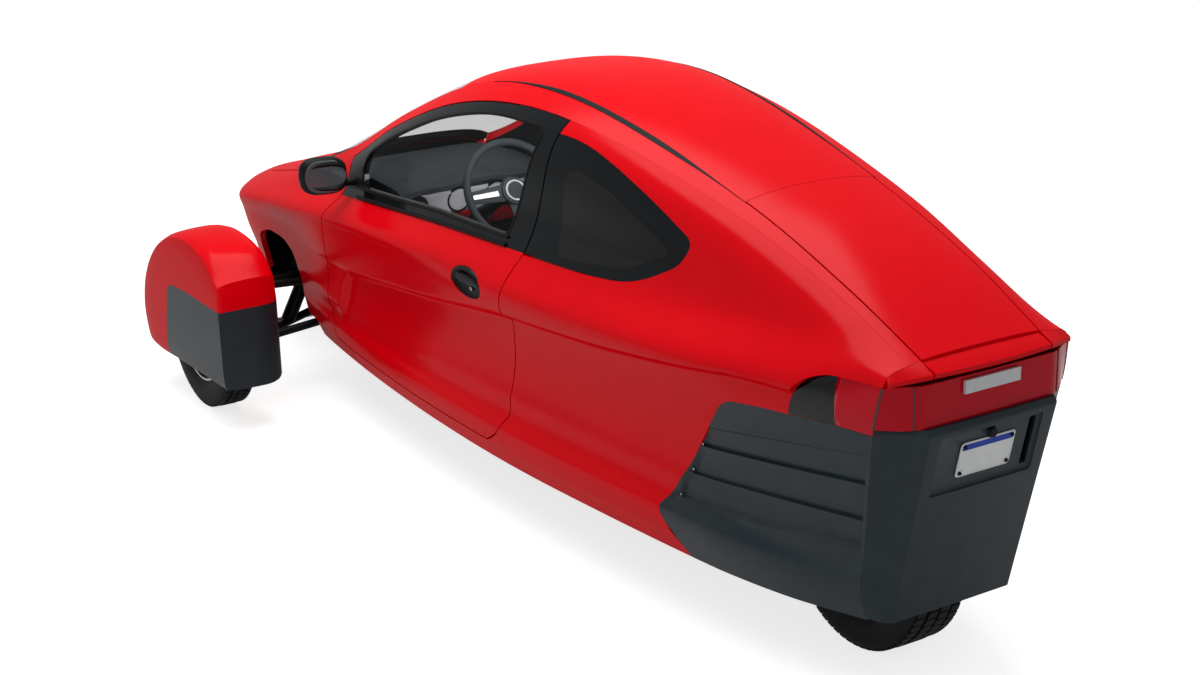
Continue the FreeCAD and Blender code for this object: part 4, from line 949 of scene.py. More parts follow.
def tail_rows(heads, foots, heights, pull):
    """Rows between the plan at the head and the one at the foot, each pulled in by a distance."""
    rows = []
    for z, inset in zip(heights, pull):
        plan = foots + (heads - foots) * (z - FOOT_Z) / (HEAD_Z - FOOT_Z)
        plan[1:-1, 0] += inset
        rows.append(to_corners(plan, z))
    return np.array(rows)


def tail_shell(name, outer, narrower, wall, corner_wall, material):
    """A shell from rows across the tail, whose inner skin keeps to the body's corners."""
    inner = outer * (1, narrower, 1) + (wall, 0, 0)
    inner[:, [0, -1]] = outer[:, [0, -1]]
    inner[:, 0, 1] -= corner_wall
    inner[:, -1, 1] += corner_wall
    return shell(name, outer, inner, [material])


rolled_z = HEAD_Z - np.array([16, 11, 6, 2, 0])
tail_z = np.concatenate([[FOOT_Z], np.linspace(FOOT_Z + 12, HEAD_Z - 16, 20), rolled_z[1:]])
tail_pull = np.interp(tail_z, rolled_z, (0, 1.5, 5, 10, 13))
outer = tail_rows(tail_plan(TAIL_HEAD, 7), tail_plan(TAIL_FOOT, 6), tail_z, tail_pull)
moulding = tail_shell("tail_moulding", outer, 0.97, TAIL_WALL, CORNER_WALL, slate)

# %% [markdown]
# The recess and the slot are bevelled blocks, set on the leaning face of the tail.

# %% Recess for the number plate
PLATE_Z, HEAD_X, FOOT_X = 668.0, TAIL_HEAD[-1][0], TAIL_FOOT[-1][0]
RECESS_WIDTH, RECESS_HEIGHT, RECESS_DEPTH = 330.0, 170.0, 9.0
lean_back = math.atan2(FOOT_X - HEAD_X, HEAD_Z - FOOT_Z)
face_x = FOOT_X + (HEAD_X - FOOT_X) * (PLATE_Z - FOOT_Z) / (HEAD_Z - FOOT_Z)


def moved_to(point):
    """The move from the origin to a point given in millimetres from the datum."""
    return Matrix.Translation(Vector(place(point)))


PLATE_FRAME = moved_to((face_x, 0, PLATE_Z)) @ Matrix.Rotation(-lean_back, 4, "Y")


def on_plate_plane(name, size, middle, bevel):
    """A block on the leaning tail, in millimetres from the plate's middle: out, across, up."""
    piece = new_piece(name, [], [], [slate])
    with edited(piece) as work:
        bmesh.ops.create_cube(work, size=1.0)
        bmesh.ops.scale(work, vec=Vector(size) * MM, verts=work.verts)
        bmesh.ops.bevel(work, geom=work.edges[:], offset=bevel * MM, segments=3, affect="EDGES", profile=0.5)
        bmesh.ops.translate(work, vec=Vector(middle) * MM, verts=work.verts)
        bmesh.ops.transform(work, matrix=PLATE_FRAME, verts=work.verts)
    return finish_mesh(piece)


cut(moulding, on_plate_plane("recess", (40, RECESS_WIDTH, RECESS_HEIGHT), (RECESS_DEPTH - 20, 0, 0), 8))
cut(moulding, on_plate_plane("slot", (40, 22, 140), (6, -140, 4), 3))
stands_for(finish_mesh(moulding, crisp=24), ROOT, "slate_plastic", "rear_bumper")

# %% [markdown]
# The number plate is a pressed sheet of aluminium with rounded corners and a raised rim, left
# blank, with a plain blue band along its top and one screw in each corner.

# %% Number plate
PLATE_WIDTH, PLATE_HEIGHT, SHEET_OUT = 176.0, 100.0, RECESS_DEPTH - 1.0
blue_band = grained("blue_printed_film", "#2340a8", "#2746b2", 0.3, 1.5, 0.01)


def plate_sheet(name, thick, width, height, radius, out, rise, material):
    """A sheet with rounded corners on the leaning tail."""
    y, z = width / 2, height / 2
    ring = rounded([(-y, -z), (y, -z), (y, z), (-y, z)], radius)
    points = [Vector((out + side, y, z + rise)) * MM for side in (0, -thick) for y, z in ring]
    return slab(name, [PLATE_FRAME @ p for p in points], material)


sheet = plate_sheet("plate_sheet", 1.6, PLATE_WIDTH, PLATE_HEIGHT, 12, SHEET_OUT, 0, plate_white)
rim = plate_sheet("plate_rim", 2.6, PLATE_WIDTH - 3, PLATE_HEIGHT - 3, 11, SHEET_OUT, 0, plate_white)
cut(rim, plate_sheet("plate_hole", 30, PLATE_WIDTH - 9, PLATE_HEIGHT - 9, 8, 20, 0, plate_white))
band = plate_sheet("plate_band", 1.9, PLATE_WIDTH - 12, 18, 5, SHEET_OUT, 36, blue_band)
number_plate = joined("number_plate", [sheet, finish_mesh(rim), band])
stands_for(number_plate, ROOT, "plate_metal", "licence_plate")

# %% [markdown]
# Screws, rivets and blocks of tread repeat, so small Geometry Nodes trees set one form on every
# point of a mesh. Each tree ends in real faces with their material, and is then made plain.

# %% Trees that set a form on every point


def new_tree(name, **inputs):
    """An empty tree of those inputs, and the sockets that hand them in."""
    tree = bpy.data.node_groups.new(name, "GeometryNodeTree")
    for label, kind in dict(Geometry="Geometry", **inputs).items():
        tree.interface.new_socket(label, in_out="INPUT", socket_type="NodeSocket" + kind)
    tree.interface.new_socket("Geometry", in_out="OUTPUT", socket_type="NodeSocketGeometry")
    return tree, add_node(tree, "NodeGroupInput").outputs


def end_tree(tree, points, form, turn, material):
    """Set the form on the points with that turn, as real faces with their material."""
    links = {"Points": points, "Instance": form, "Rotation": turn}
    scatter = add_node(tree, "GeometryNodeInstanceOnPoints", links)
    real = add_node(tree, "GeometryNodeRealizeInstances", {"Geometry": scatter.outputs["Instances"]})
    links = {"Geometry": real.outputs["Geometry"], "Material": material}
    dressed = add_node(tree, "GeometryNodeSetMaterial", links)
    add_node(tree, "NodeGroupOutput", {"Geometry": dressed.outputs["Geometry"]})
    return tree


def run_tree(piece, tree, **wanted):
    """Run the tree on the piece with those inputs, and keep the result as a plain mesh."""
    modifier = piece.modifiers.new("repeat", "NODES")
    modifier.node_group = tree
    for item in tree.interface.items_tree:
        if item.item_type == "SOCKET" and item.name in wanted:
            modifier[item.identifier] = wanted[item.name]
    return baked(piece)


def head_tree(name, material):
    """A round head on every point, turned to the axis that the piece needs."""
    tree, given = new_tree(name, Radius="Float", Height="Float", Turn="Vector")
    narrow = add_node(tree, "ShaderNodeMath", {0: given["Radius"], 1: 0.72}, operation="MULTIPLY")
    sizes = {"Vertices": 16, "Side Segments": 2, "Radius Bottom": given["Radius"],
             "Radius Top": narrow.outputs[0], "Depth": given["Height"]}
    head = add_node(tree, "GeometryNodeMeshCone", sizes)
    return end_tree(tree, given["Geometry"], head.outputs["Mesh"], given["Turn"], material)


def fasteners(name, points, material, radius, height, turn):
    """Round heads on the points, as one plain mesh; sizes in metres."""
    piece = new_piece(name, points, [], [material])
    run_tree(piece, head_tree(name + "_tree", material), Radius=radius, Height=height, Turn=turn)
    return finish_mesh(piece)


FACING_BACK, FACING_OUT = (0, -math.pi / 2, 0), (math.pi / 2, 0, 0)
screw_places = [PLATE_FRAME @ (Vector((RECESS_DEPTH - 4.2, y, z)) * MM) for y in (-76, 76) for z in (-38, 38)]
plate_screws = fasteners("plate_screws", screw_places, chassis_black, 0.0055, 0.004, FACING_BACK)
stands_for(plate_screws, ROOT, "black_plastic")
lock_place = [PLATE_FRAME @ (Vector((RECESS_DEPTH - 5, 0, 66)) * MM)]
plate_lock = fasteners("plate_lock", lock_place, black_abs, 0.016, 0.010, FACING_BACK)
stands_for(plate_lock, ROOT, "black_plastic")
rivet_points = []
for z in (394, 477, 560):
    x = field_end(z) - 6
    side = sections([x], "sill", "shoulder")[0]
    y = np.interp(z, side[:, 1], side[:, 0]) - 2.5
    rivet_points += [place((x, y, z)), place((x, -y, z))]
rivets = fasteners("cladding_rivets", rivet_points, cast_aluminium, 0.0035, 0.004, FACING_OUT)
stands_for(rivets, ROOT, "bare_metal")

# %% [markdown]
# ## Rear lamps
# The lamp runs the full width above the tail moulding and wraps round both corners. A thin red
# lens stands in front of a darker housing, and its front end on each side is smoked.

# %% Lamp across the tail
LAMP_PLAN = [(-280, 302), (-318, 246), (-334, 210), (-336, 0)]
LAMP_FOOT, LAMP_HEAD = 780.6, 891.5
SMOKED_PART = [(-150, 700), (-150, 950), (100, 950), (100, 700)]


def plan_shell(name, plan, wall, material):
    """One layer of the lamp, upright behind its plan."""
    outer = np.array([to_corners(plan, z) for z in np.linspace(LAMP_FOOT, LAMP_HEAD, 6)])
    return tail_shell(name, outer, 0.985, wall, wall + 1, material)


lamp_plan = tail_plan(LAMP_PLAN, 14)
lens = plan_shell("lamp_lens_middle", lamp_plan, 4.0, red_lens)
housing = plan_shell("lamp_housing_middle", lamp_plan * (1, 0.95) + (14, 0), 8.0, lamp_housing)
stands_for(joined("tail_lamp_set", [lens, housing]), ROOT, "lamp_lens", "tail_lamp")
side_pieces = []
for name, sink, material in (("lens", 0.0, red_lens), ("housing", 13.0, lamp_housing)):
    part = strip("lamp_side_" + name, TAIL_X, 70, "line", "belt", 4.0, [material], sink=sink)
    side_pieces.append(tidied(cut_side(part, lamp_line, "INTERSECT")))
smoked = cut_side(copied(side_pieces[0], "smoked"), SMOKED_PART, "INTERSECT")
cut_side(side_pieces[0], SMOKED_PART)
smoked.data.materials[0] = privacy
near_lamp = joined("near_lamp", side_pieces + [finish_mesh(smoked)])
stands_for(paired("side_lamp_set", near_lamp), ROOT, "lamp_lens", "side_lamps")

# %% [markdown]
# A clear reflector with upright ribs is let into the middle of the lamp.

# %% Reflector with its ribs
REFLECTOR_X, REFLECTOR_HALF, REFLECTOR_Z, RIB_COUNT, RIB_RELIEF = -345.0, 92.0, (848, 882), 46, 0.8
rib_pitch = 2 * REFLECTOR_HALF / RIB_COUNT
rib_y = np.linspace(-REFLECTOR_HALF + 3, REFLECTOR_HALF - 3, RIB_COUNT * 4)
rib_x = REFLECTOR_X + RIB_RELIEF - RIB_RELIEF * np.abs(np.sin(rib_y / rib_pitch * math.pi))
front = np.array([np.column_stack([rib_x, rib_y, np.full(len(rib_y), z)]) for z in REFLECTOR_Z])
behind = front.copy()
behind[:, :, 0] = REFLECTOR_X + 8
stands_for(shell("reflector_prisms", front, behind, [clear_lens]), ROOT, "clear_lens", "reflector")

# %% [markdown]
# ## Lips over the lamps
# A thin painted lip stands out over the lamps: the middle belongs to the rear lid and lifts with
# it, and each side belongs to the body. Each is a closed form drawn across the car from a few
# profiles, with its rear edge rolled over.

# %% Lips
LIP_DROP, LIP_SEAT_DROP, LID_LIP_HALF = 14.0, 26.0, 186


def lip_profile(seat_x, seat_z, edge_x, edge_z, y):
    """Top surface, rolled edge and underside of a lip at one place across the car."""
    foot = edge_z - LIP_DROP
    return [(seat_x, y, seat_z), (edge_x + 3, y, edge_z + 1), (edge_x, y, edge_z - 2),
            (edge_x, y, foot + 2), (edge_x + 3, y, foot), (seat_x, y, seat_z - LIP_SEAT_DROP)]


profiles = []
for y in np.linspace(-LID_LIP_HALF, LID_LIP_HALF, 25):
    bend = (y / (LID_LIP_HALF + 1)) ** 2
    profiles.append(lip_profile(-282, 945.5 - 3.5 * bend, -356 + 10 * bend, 921, y))
lid_lip = across("rear_lid_lip", profiles, [enamel])
stands_for(joined("rear_lid_skin", [lid, lid_lip]), "deck", "red_paint", "deck_lid")
tail_section = sections([TAIL_X], "belt", "drip", fine=dict(FINE, belt=10, rail=6))[0]
profiles = []
for y, z in tail_section:
    share = (tail_section[0, 0] - y) / (tail_section[0, 0] - tail_section[-1, 0])
    seat = TAIL_X + LEAN * (LEAN_FROM_Z - z) - 0.3
    profiles.append(lip_profile(seat, z - 1, -306 - 39 * share, 908 + 12 * share, y))
stands_for(paired("tail_lip_pieces", across("lip_left", profiles, [enamel])), ROOT, "red_paint", "tail_lips")

# %% [markdown]
# ## Wheel pods
# Each front wheel runs in a hollow pod that steers with it. The pod is a shell around a side
# profile: full in the middle, drawn in towards both faces, cut flat at the back, with a clear
# ridge along the top of the outer face. The lower rear is slate plastic.

# %% Pod shells
AXLE_X = sum(corner[0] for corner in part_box("tyre_front_left")) / 2 / MM + MIDDLE
POD_PROFILE = [(-379, 168), (-379, 470), (-367, 552), (-289, 622), (-159, 656), (-19, 656), (121, 618),
               (251, 540), (351, 430), (396, 320), (391, 230), (346, 160), (21, 158)]
POD_CORNERS = {0, 1, 2, 12}
POD_MIDDLE, POD_WALL = (-19.0, 330.0), 12.0
POD_INNER, POD_OUTER = 620.0, 850.0
POD_CLADDING = [(-479, 0), (-479, 452), (-119, 458), (51, 452), (96, 425), (121, 330), (141, 240), (151, 0)]
# Each ring's share of the width, and its size beside the full profile.
POD_RINGS = [(0.0, 0.895), (0.04, 0.93), (0.10, 0.965), (0.20, 0.99), (0.30, 1.0), (0.46, 1.0),
             (0.62, 0.996), (0.74, 0.988), (0.80, 0.982), (0.84, 0.976), (0.91, 0.955), (0.955, 0.938),
             (0.98, 0.86), (0.992, 0.70), (1.0, 0.45)]


def pod_curve():
    """The pod's profile as a dense closed curve, straight into its corners."""
    points = np.array(POD_PROFILE, float)
    count, dense = len(points), []
    for i in range(count):
        a, b = points[i], points[(i + 1) % count]
        before, after = points[i - 1], points[(i + 2) % count]
        span = np.linalg.norm(b - a)
        way_a = (b - a) if i in POD_CORNERS else (b - before) / np.linalg.norm(b - before) * span
        way_b = (b - a) if (i + 1) % count in POD_CORNERS else (after - a) / np.linalg.norm(after - a) * span
        for t in np.arange(0, 1, 1 / max(int(span / 16), 2)):
            dense.append(hermite(a, b, way_a, way_b, t))
    return np.array(dense)


def pod_form(name, curve, wall):
    """The pod's closed form, that far inside its outer faces."""
    middle, width = np.array(POD_MIDDLE), POD_OUTER - POD_INNER - 2 * wall
    reach = np.linalg.norm(curve - middle, axis=1, keepdims=True)
    loops = []
    for share, scale in POD_RINGS:
        y = POD_INNER + wall + width * share
        rear = smooth_step(curve[:, :1], -340.0, -372.0) * smooth_step(y, 690.0, 800.0)
        held = np.hstack([rear * (1 - scale), np.zeros_like(rear)])
        flat = middle + (curve - middle) * (scale + held - wall / reach)
        loops.append(np.column_stack([AXLE_X + flat[:, 0], np.full(len(flat), y), flat[:, 1]]))
    return across(name, loops, PAINT)


pod_line = pod_curve()
pod = pod_form("pod_outside", pod_line, 0.0)
hollow = pod_form("pod_hollow", pod_line, POD_WALL)
hollow.data.polygons.foreach_set("material_index", [1] * len(hollow.data.polygons))
cut(pod, hollow)
FOOT_OPENING = ((AXLE_X - 350, POD_INNER + POD_WALL, 60), (AXLE_X + 355, POD_OUTER - POD_WALL, 260))
INNER_OPENING = ((AXLE_X - 165, POD_INNER - 20, 60), (AXLE_X + 165, POD_INNER + POD_WALL + 1, 470))
for low, high in (FOOT_OPENING, INNER_OPENING):
    cut(pod, block(low, high, soft_trim))
split = rounded([(AXLE_X + x, z) for x, z in POD_CLADDING], 24)
lower = copied(pod, "pod_lower")
cut(pod, prism(split, 500, 1000, enamel))
cut(lower, prism(grown(split, -SEAM), 500, 1000, enamel), "INTERSECT")
lower.data.materials[0] = slate
for piece, word, slot in ((pod, "upper", "red_paint"), (lower, "lower", "slate_plastic")):
    tidied(piece, crisp=22)
    piece.name = "pod_skin_%s_left" % word
    other = mirrored(piece, "pod_skin_%s_right" % word)
    stands_for(piece, "knuckle_left", slot, "pod_%s_left" % word)
    stands_for(other, "knuckle_right", slot, "pod_%s_right" % word)

# %% [markdown]
# ## Tyres, wheels and running gear
# A tyre is a carcass with blocks of tread. The carcass is a turned profile, and Geometry Nodes
# repeat one block round it in four rings. Every other ring is turned by half a pitch, as real
# tread is, and the blocks stand 6 mm high. The rims keep their turned solids, in silver paint.

# %% Carcass
RIM_RADIUS = 190.0


def turned(name, profile, centre, materials, count=96):
    """A closed profile of (across, radius) in millimetres turned about an axle across the car."""
    rings = [[(r * math.sin(a), y, r * math.cos(a)) for y, r in profile] for a in round_angles(count)]
    points = np.array(rings).reshape(-1, 3) + centre
    index = np.arange(len(points)).reshape(count, -1)
    on, back = np.roll(index, -1, 0), np.roll(index, -1, 1)
    faces = np.stack([index, on, np.roll(on, -1, 1), back], -1).reshape(-1, 4)
    return finish_mesh(new_piece(name, place(points), faces, materials), crisp=40)


def tyre_profile(half, radius, rim):
    """From one bead out over the tread to the other, and back along the inside."""
    wall = radius - rim
    outer = [(0.78, rim - 4), (0.86, rim + 2), (0.84, rim + 6), (0.95, rim + 0.22 * wall),
             (0.995, rim + 0.42 * wall), (0.99, rim + 0.58 * wall), (0.95, rim + 0.74 * wall),
             (0.90, radius - 16), (0.84, radius - 10), (0.6, radius - 7.5), (0.3, radius - 6.5)]
    inside = [(0.66, rim + 4), (0.74, rim + 0.4 * wall), (0.5, radius - 18)]
    there = [(-y, r) for y, r in outer] + outer[::-1]
    return [(y * half, r) for y, r in there + inside + [(-y, r) for y, r in inside[::-1]]]


# %% [markdown]
# The blocks stand on a circle about the axle; the tree's inputs set their number and size.

# %% Tread
BLOCK_COUNT, BLOCK_HEIGHT, BLOCK_SPACE = 64, 6.5, 5
# Each ring's offset and width as shares of half the tyre's width, and its drop from the crown.
TREAD_RINGS = [(-0.66, 0.30, 2.0), (-0.22, 0.36, 0.4), (0.22, 0.36, 0.4), (0.66, 0.30, 2.0)]
lengths = dict.fromkeys(("Radius", "Length", "Width", "Height"), "Float")
blocks, given = new_tree("tread_blocks", Count="Int", **lengths)
ring = add_node(blocks, "GeometryNodeMeshCircle", {"Vertices": given["Count"], "Radius": given["Radius"]})
size = add_node(blocks, "ShaderNodeCombineXYZ", {0: given["Height"], 1: given["Length"], 2: given["Width"]})
form = add_node(blocks, "GeometryNodeMeshCube", {"Size": size.outputs[0]})
way = {"Vector": add_node(blocks, "GeometryNodeInputPosition").outputs[0]}
facing = add_node(blocks, "FunctionNodeAlignRotationToVector", way, axis="X", pivot_axis="Z")
end_tree(blocks, ring.outputs["Mesh"], form.outputs["Mesh"], facing.outputs["Rotation"], rubber)


def middle_and_half(node):
    """The middle of a construction node and half its size, in millimetres from the datum."""
    low, high = (np.array(corner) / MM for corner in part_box(node))
    return (low + high) / 2 + (MIDDLE, 0, 0), (high - low) / 2


def tread_ring(name, centre, radius, width, turn):
    """One ring of blocks about the axle through that centre."""
    ring = new_piece(name, [(0, 0, 0)], [], [rubber])
    length = 2 * math.pi * radius / BLOCK_COUNT - BLOCK_SPACE
    run_tree(ring, blocks, Count=BLOCK_COUNT, Radius=radius * MM, Length=length * MM, Width=width * MM,
             Height=BLOCK_HEIGHT * MM)
    spin = Matrix.Rotation(turn, 4, "Y") @ Matrix.Rotation(math.pi / 2, 4, "X")
    ring.data.transform(moved_to(centre) @ spin)
    return finish_mesh(ring)


for place_word in ("front_left", "front_right", "rear"):
    short = place_word.replace("front_", "")
    name = "tyre_with_tread_" + short
    centre, (_, half, radius) = middle_and_half("tyre_" + place_word)
    parts = [turned(name, tyre_profile(half, radius, RIM_RADIUS), centre, [rubber])]
    for row, (offset, width, drop) in enumerate(TREAD_RINGS):
        mid = radius - drop - BLOCK_HEIGHT / 2 - 0.5
        turn = math.pi / BLOCK_COUNT * (row % 2)
        parts.append(tread_ring(name + "_ring", centre + (0, offset * half, 0), mid, width * half, turn))
    stands_for(joined(name, parts), "wheel_" + short, "rubber", "tyre_" + place_word)

# %% [markdown]
# The rims, frame, suspension and axles are turned, cast or welded pieces whose solids already
# have the right shape, so they stay and get their finish. Black powder coat covers the frame.

# %% Finishes on construction pieces


def dress(names, material):
    """Give construction pieces one material."""
    for name in names:
        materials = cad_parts[name].data.materials
        materials.clear()
        materials.append(material)
    print(material.name, "on", ", ".join(names))


dress(["rim_front_left", "rim_front_right", "rim_rear"], wheel_silver)
dress(["frame_rails", "suspension", "swing_arm"], chassis_black)
dress(["knuckle_left", "knuckle_right", "steering_rack", "engine_block"], cast_aluminium)
dress(["firewall", "rear_bulkhead"], soft_trim)
dress(["seat_bases", "steering_column"], black_abs)

# %% [markdown]
# The floor is a pressed steel pan: flat in the middle, with sides that slope up to the sills so
# that it stays out of sight, and three long ribs that stiffen it.

# %% Floor pan
FLOOR_REAR_X, FLOOR_FRONT_X, FLOOR_DROP = 395.0, 2790.0, 25.0
# The ribs from the side to the middle: share of the flat part's half-width, and height.
FLOOR_RIBS = [(1, 0), (0.62, 0), (0.55, 0), (0.52, 5), (0.46, 5), (0.43, 0), (0.08, 0), (0.05, 5), (0, 5)]
floor_x = np.linspace(FLOOR_REAR_X, FLOOR_FRONT_X, 60)
rings = []
for x, (y, z) in zip(floor_x, line_points(floor_x)[:, 0]):
    half, flat, low, high = y - 24, y - 92, z - FLOOR_DROP + 1, z - 1
    right_under = [(flat * share, low + rise) for share, rise in FLOOR_RIBS]
    under = [(half, high - 6)] + right_under + [(-a, b) for a, b in right_under[-2::-1]]
    ring = under + [(-half, high - 6), (-half, high), (half, high)]
    rings.append([(x, a, b) for a, b in ring])
stands_for(across("floor_pressing", rings, [chassis_black]), ROOT, "chassis_metal", "floor_pan")

# %% [markdown]
# Behind each wheel arch the body has a black plastic liner. It hides the engine bay, and the
# suspension arms come out through it.

# %% Wheel-house liners
LINER_X = np.linspace(2728, 3396, 30)
LINER_PROFILE = [(214, 226), (214, 330), (214, 440), (216, 540), (232, 590), (270, 620), (330, 636)]
reach = line_points(LINER_X)[:, LINES.index("line"), 0] - 30
liner = np.array([[(x, min(y, edge), z) for y, z in LINER_PROFILE] for x, edge in zip(LINER_X, reach)])
liner[:, -1, 1] = reach
near_liner = shell("wheel_house_liner", liner, liner + (0, -5, 3), [chassis_black])
front_end = block((3376, 140, 262), (3388, 296, 618), chassis_black)
near_liner = joined("wheel_house_liner_left", [near_liner, front_end])
stands_for(paired("wheel_house_liners", near_liner), ROOT, "black_plastic")

# %% [markdown]
# ## Seals, handle and mirrors
# Seals and drip strips are rubber beads that follow a path on the body's surface. A bead is a
# small six-sided section swept along the path, square to the surface. The strips fill the roof
# seams, the window beads hold the glass, and two ledges wipe the pane at the waist.

# %% Beads on the surface


def on_surface(x, z, first, last):
    """Points of the body's left side at those places and heights, and the way out of it."""
    x, z = np.asarray(x, float), np.asarray(z, float)
    points, outs = [], []
    for here, row, height in zip(x, sections(x, first, last), z):
        i = int(np.clip(np.searchsorted(row[:, 1], height), 1, len(row) - 1))
        a, b = row[i - 1], row[i]
        t = (height - a[1]) / max(b[1] - a[1], 0.001)
        chord = (b - a) / np.linalg.norm(b - a)
        share = min(max((LEAN_ENDS_X - here) / (LEAN_ENDS_X - TAIL_X), 0.0), 1.0)
        points.append((here + LEAN * (LEAN_FROM_Z - height) * share, *(a + (b - a) * t)))
        outs.append((0.0, chord[1], -chord[0]))
    return np.array(points), np.array(outs)


def bead(name, path, out, half, height, material, closed=False):
    """A bead along the path, raised by that height; its half-width may change along it."""
    half = np.broadcast_to(half, len(path))[:, None]
    way = np.roll(path, -1, 0) - np.roll(path, 1, 0)
    if not closed:
        way[0], way[-1] = path[1] - path[0], path[-1] - path[-2]
    side = np.cross(way, out)
    side *= half / np.linalg.norm(side, axis=1, keepdims=True)
    foot, shoulder, top = -1.5 * out, 0.4 * height * out, height * out
    rings = np.stack([path - side + foot, path - side + shoulder, path - side * 0.5 + top,
                      path + side * 0.5 + top, path + side + shoulder, path + side + foot], 1)
    if not closed:
        return across(name, rings, [material])
    made = across(name, np.concatenate([rings, rings[:1]]), [material])
    with edited(made) as work:
        bmesh.ops.delete(work, geom=[f for f in work.faces if len(f.verts) > 4], context="FACES")
    return finish_mesh(made, crisp=50)


def tapered(x, width, run):
    """A half-width that grows from a point at both ends of the path."""
    return 0.6 + width * smooth_step(x, x.min(), x.min() + run) * (1 - smooth_step(x, x.max() - run, x.max()))


def dense(outline, step):
    """More points along a closed outline, about step apart."""
    points = []
    for a, b in zip(outline, np.roll(outline, -1, 0)):
        count = max(int(np.linalg.norm(b - a) / step), 1)
        points += [a + (b - a) * i / count for i in range(count)]
    return np.array(points)


strip_x = np.linspace(1590, 366, 90)
path, out = on_surface(strip_x, along(strip_x, "drip_z"), "drip", "crown")
drip_strip = bead("drip_strip_left", path, out, tapered(strip_x, 8.5, 420), 1.6, seal_rubber)
stands_for(paired("roof_drip_strips", drip_strip), ROOT, "black_plastic")
ring = dense(grown(window_line, 2.0), 14)
path, out = on_surface(ring[:, 0], ring[:, 1], "belt", "rail")
seals = [bead("glass_seal", path, out, 5.0, 1.4, seal_rubber, closed=True)]
ledge_x = np.linspace(2282, 1250, 60)
foot = np.interp(ledge_x, [1255, 1700, 2262, 2282], [936, 918, 868, 872])
belt = along(ledge_x, "belt_z")
for share, half, height in ((0.16, 6.5, 7.0), (0.92, 5.5, 5.0)):
    path, out = on_surface(ledge_x, belt + (foot - belt) * share, "belt", "rail")
    seals.append(bead("ledge", path, out, half, height, black_abs))
door_seals = joined("door_window_seals", seals)
far_seals = mirrored(door_seals, "fixed_window_seals_right")
stands_for(door_seals, "door", "rubber")
stands_for(far_seals, ROOT, "rubber")

# %% [markdown]
# The outside handle is a round dish let into the door, drawn wider than high, with a paddle
# across its upper half that a hand pulls, and a small lock barrel in the lower rear.

# %% Door handle
DISH = [(-8, 2), (-8, 40), (-6, 46), (5, 46), (9, 44.5), (11, 42), (10, 39.5), (3, 35), (-2, 24), (-4, 2)]
BARREL = [(-3, 2), (-3, 7), (3, 7), (4, 6), (4, 2)]


def filled(piece):
    """The piece with its open edges closed by faces."""
    with edited(piece) as work:
        bmesh.ops.holes_fill(work, edges=[e for e in work.edges if e.is_boundary])
    return piece


dish = filled(turned("handle_dish", DISH, (HANDLE_X, HANDLE_Y, HANDLE_Z), [black_abs], count=64))
paddle = []
for x in np.linspace(-36, 30, 12):
    reach = math.sqrt(max(1 - ((x + 3) / 38) ** 2, 0.05))
    top, low, lift = 30 * reach, 4 - 3 * reach, 11 + 3 * math.cos(x / 24)
    ring = [(lift - 6, low), (lift - 1, low), (lift, low + 2), (lift, top - 5), (lift - 2, top - 1),
            (lift - 6, top)]
    paddle.append([(HANDLE_X + x, HANDLE_Y + y, HANDLE_Z + z) for y, z in ring])
paddle = across("paddle", paddle, [black_abs])
barrel = turned("barrel", BARREL, (HANDLE_X - 8, HANDLE_Y, HANDLE_Z - 17), [zinc_steel], count=32)
centre = moved_to((HANDLE_X, HANDLE_Y, HANDLE_Z))
for piece, stretch, squash in ((finish_mesh(dish), 2.15, 1.08), (paddle, 2.15, 1.08), (barrel, 1.0, 1.0)):
    lean = Matrix.Rotation(math.radians(-9), 4, "X") @ Matrix.Diagonal((stretch, 1, squash, 1))
    piece.data.transform(centre @ lean @ centre.inverted())
stands_for(joined("door_pull_handle", [dish, paddle, barrel]), "door", "black_plastic", "door_handle")

# %% [markdown]
# Each mirror is a rounded black housing on a short arm that grows from a sail in the corner of
# the window. The glass sits just inside the rim and faces the driver. It is not silvered: its
# grey colour is a painted reflection, and only its glassy gloss is real.

# %% Mirrors
# The mirror's grey base colour is a painted reflection; the glass does not mirror, it only has a real gloss.
mirror_glass, tree, shader, coords = start_material("mirror_glass_painted_reflection", "#474d51", 0.2)
breath = add_node(tree, "ShaderNodeTexNoise", {"Vector": coords, "Scale": 1 / (30 * MM)})
film = add_node(tree, "ShaderNodeMapRange", {"Value": breath.outputs["Fac"], "To Min": 0.15, "To Max": 0.25})
tree.links.new(film.outputs["Result"], shader.inputs["Roughness"])
MIRROR_X, MIRROR_Y, MIRROR_Z, MIRROR_HALF = 2338.0, 506.0, 912.0, 84.0
SAIL = [(2262, 862), (2290, 934), (2392, 884), (2384, 846)]


def rounded_ring(x, z, half_x, half_z, y, power=2.6):
    """A rounded rectangle in side view at one half-width."""
    ring = []
    for a in round_angles(40):
        c, s = math.cos(a), math.sin(a)
        ring.append((x + half_x * math.copysign(abs(c) ** (2 / power), c), y,
                     z + half_z * math.copysign(abs(s) ** (2 / power), s)))
    return ring


def mirror_layer(name, x, half_x, half_z, half_y, power, material):
    """A flat layer of the mirror, tall in its middle and low at its two ends."""
    rings = []
    for t in np.linspace(-0.999, 0.999, 21):
        height = half_z * max(1 - abs(t) ** 3.2, 0.02) ** 0.45
        rings.append(rounded_ring(x, MIRROR_Z + 4 * t, half_x, height, MIRROR_Y + half_y * t, power))
    return across(name, rings, [material])


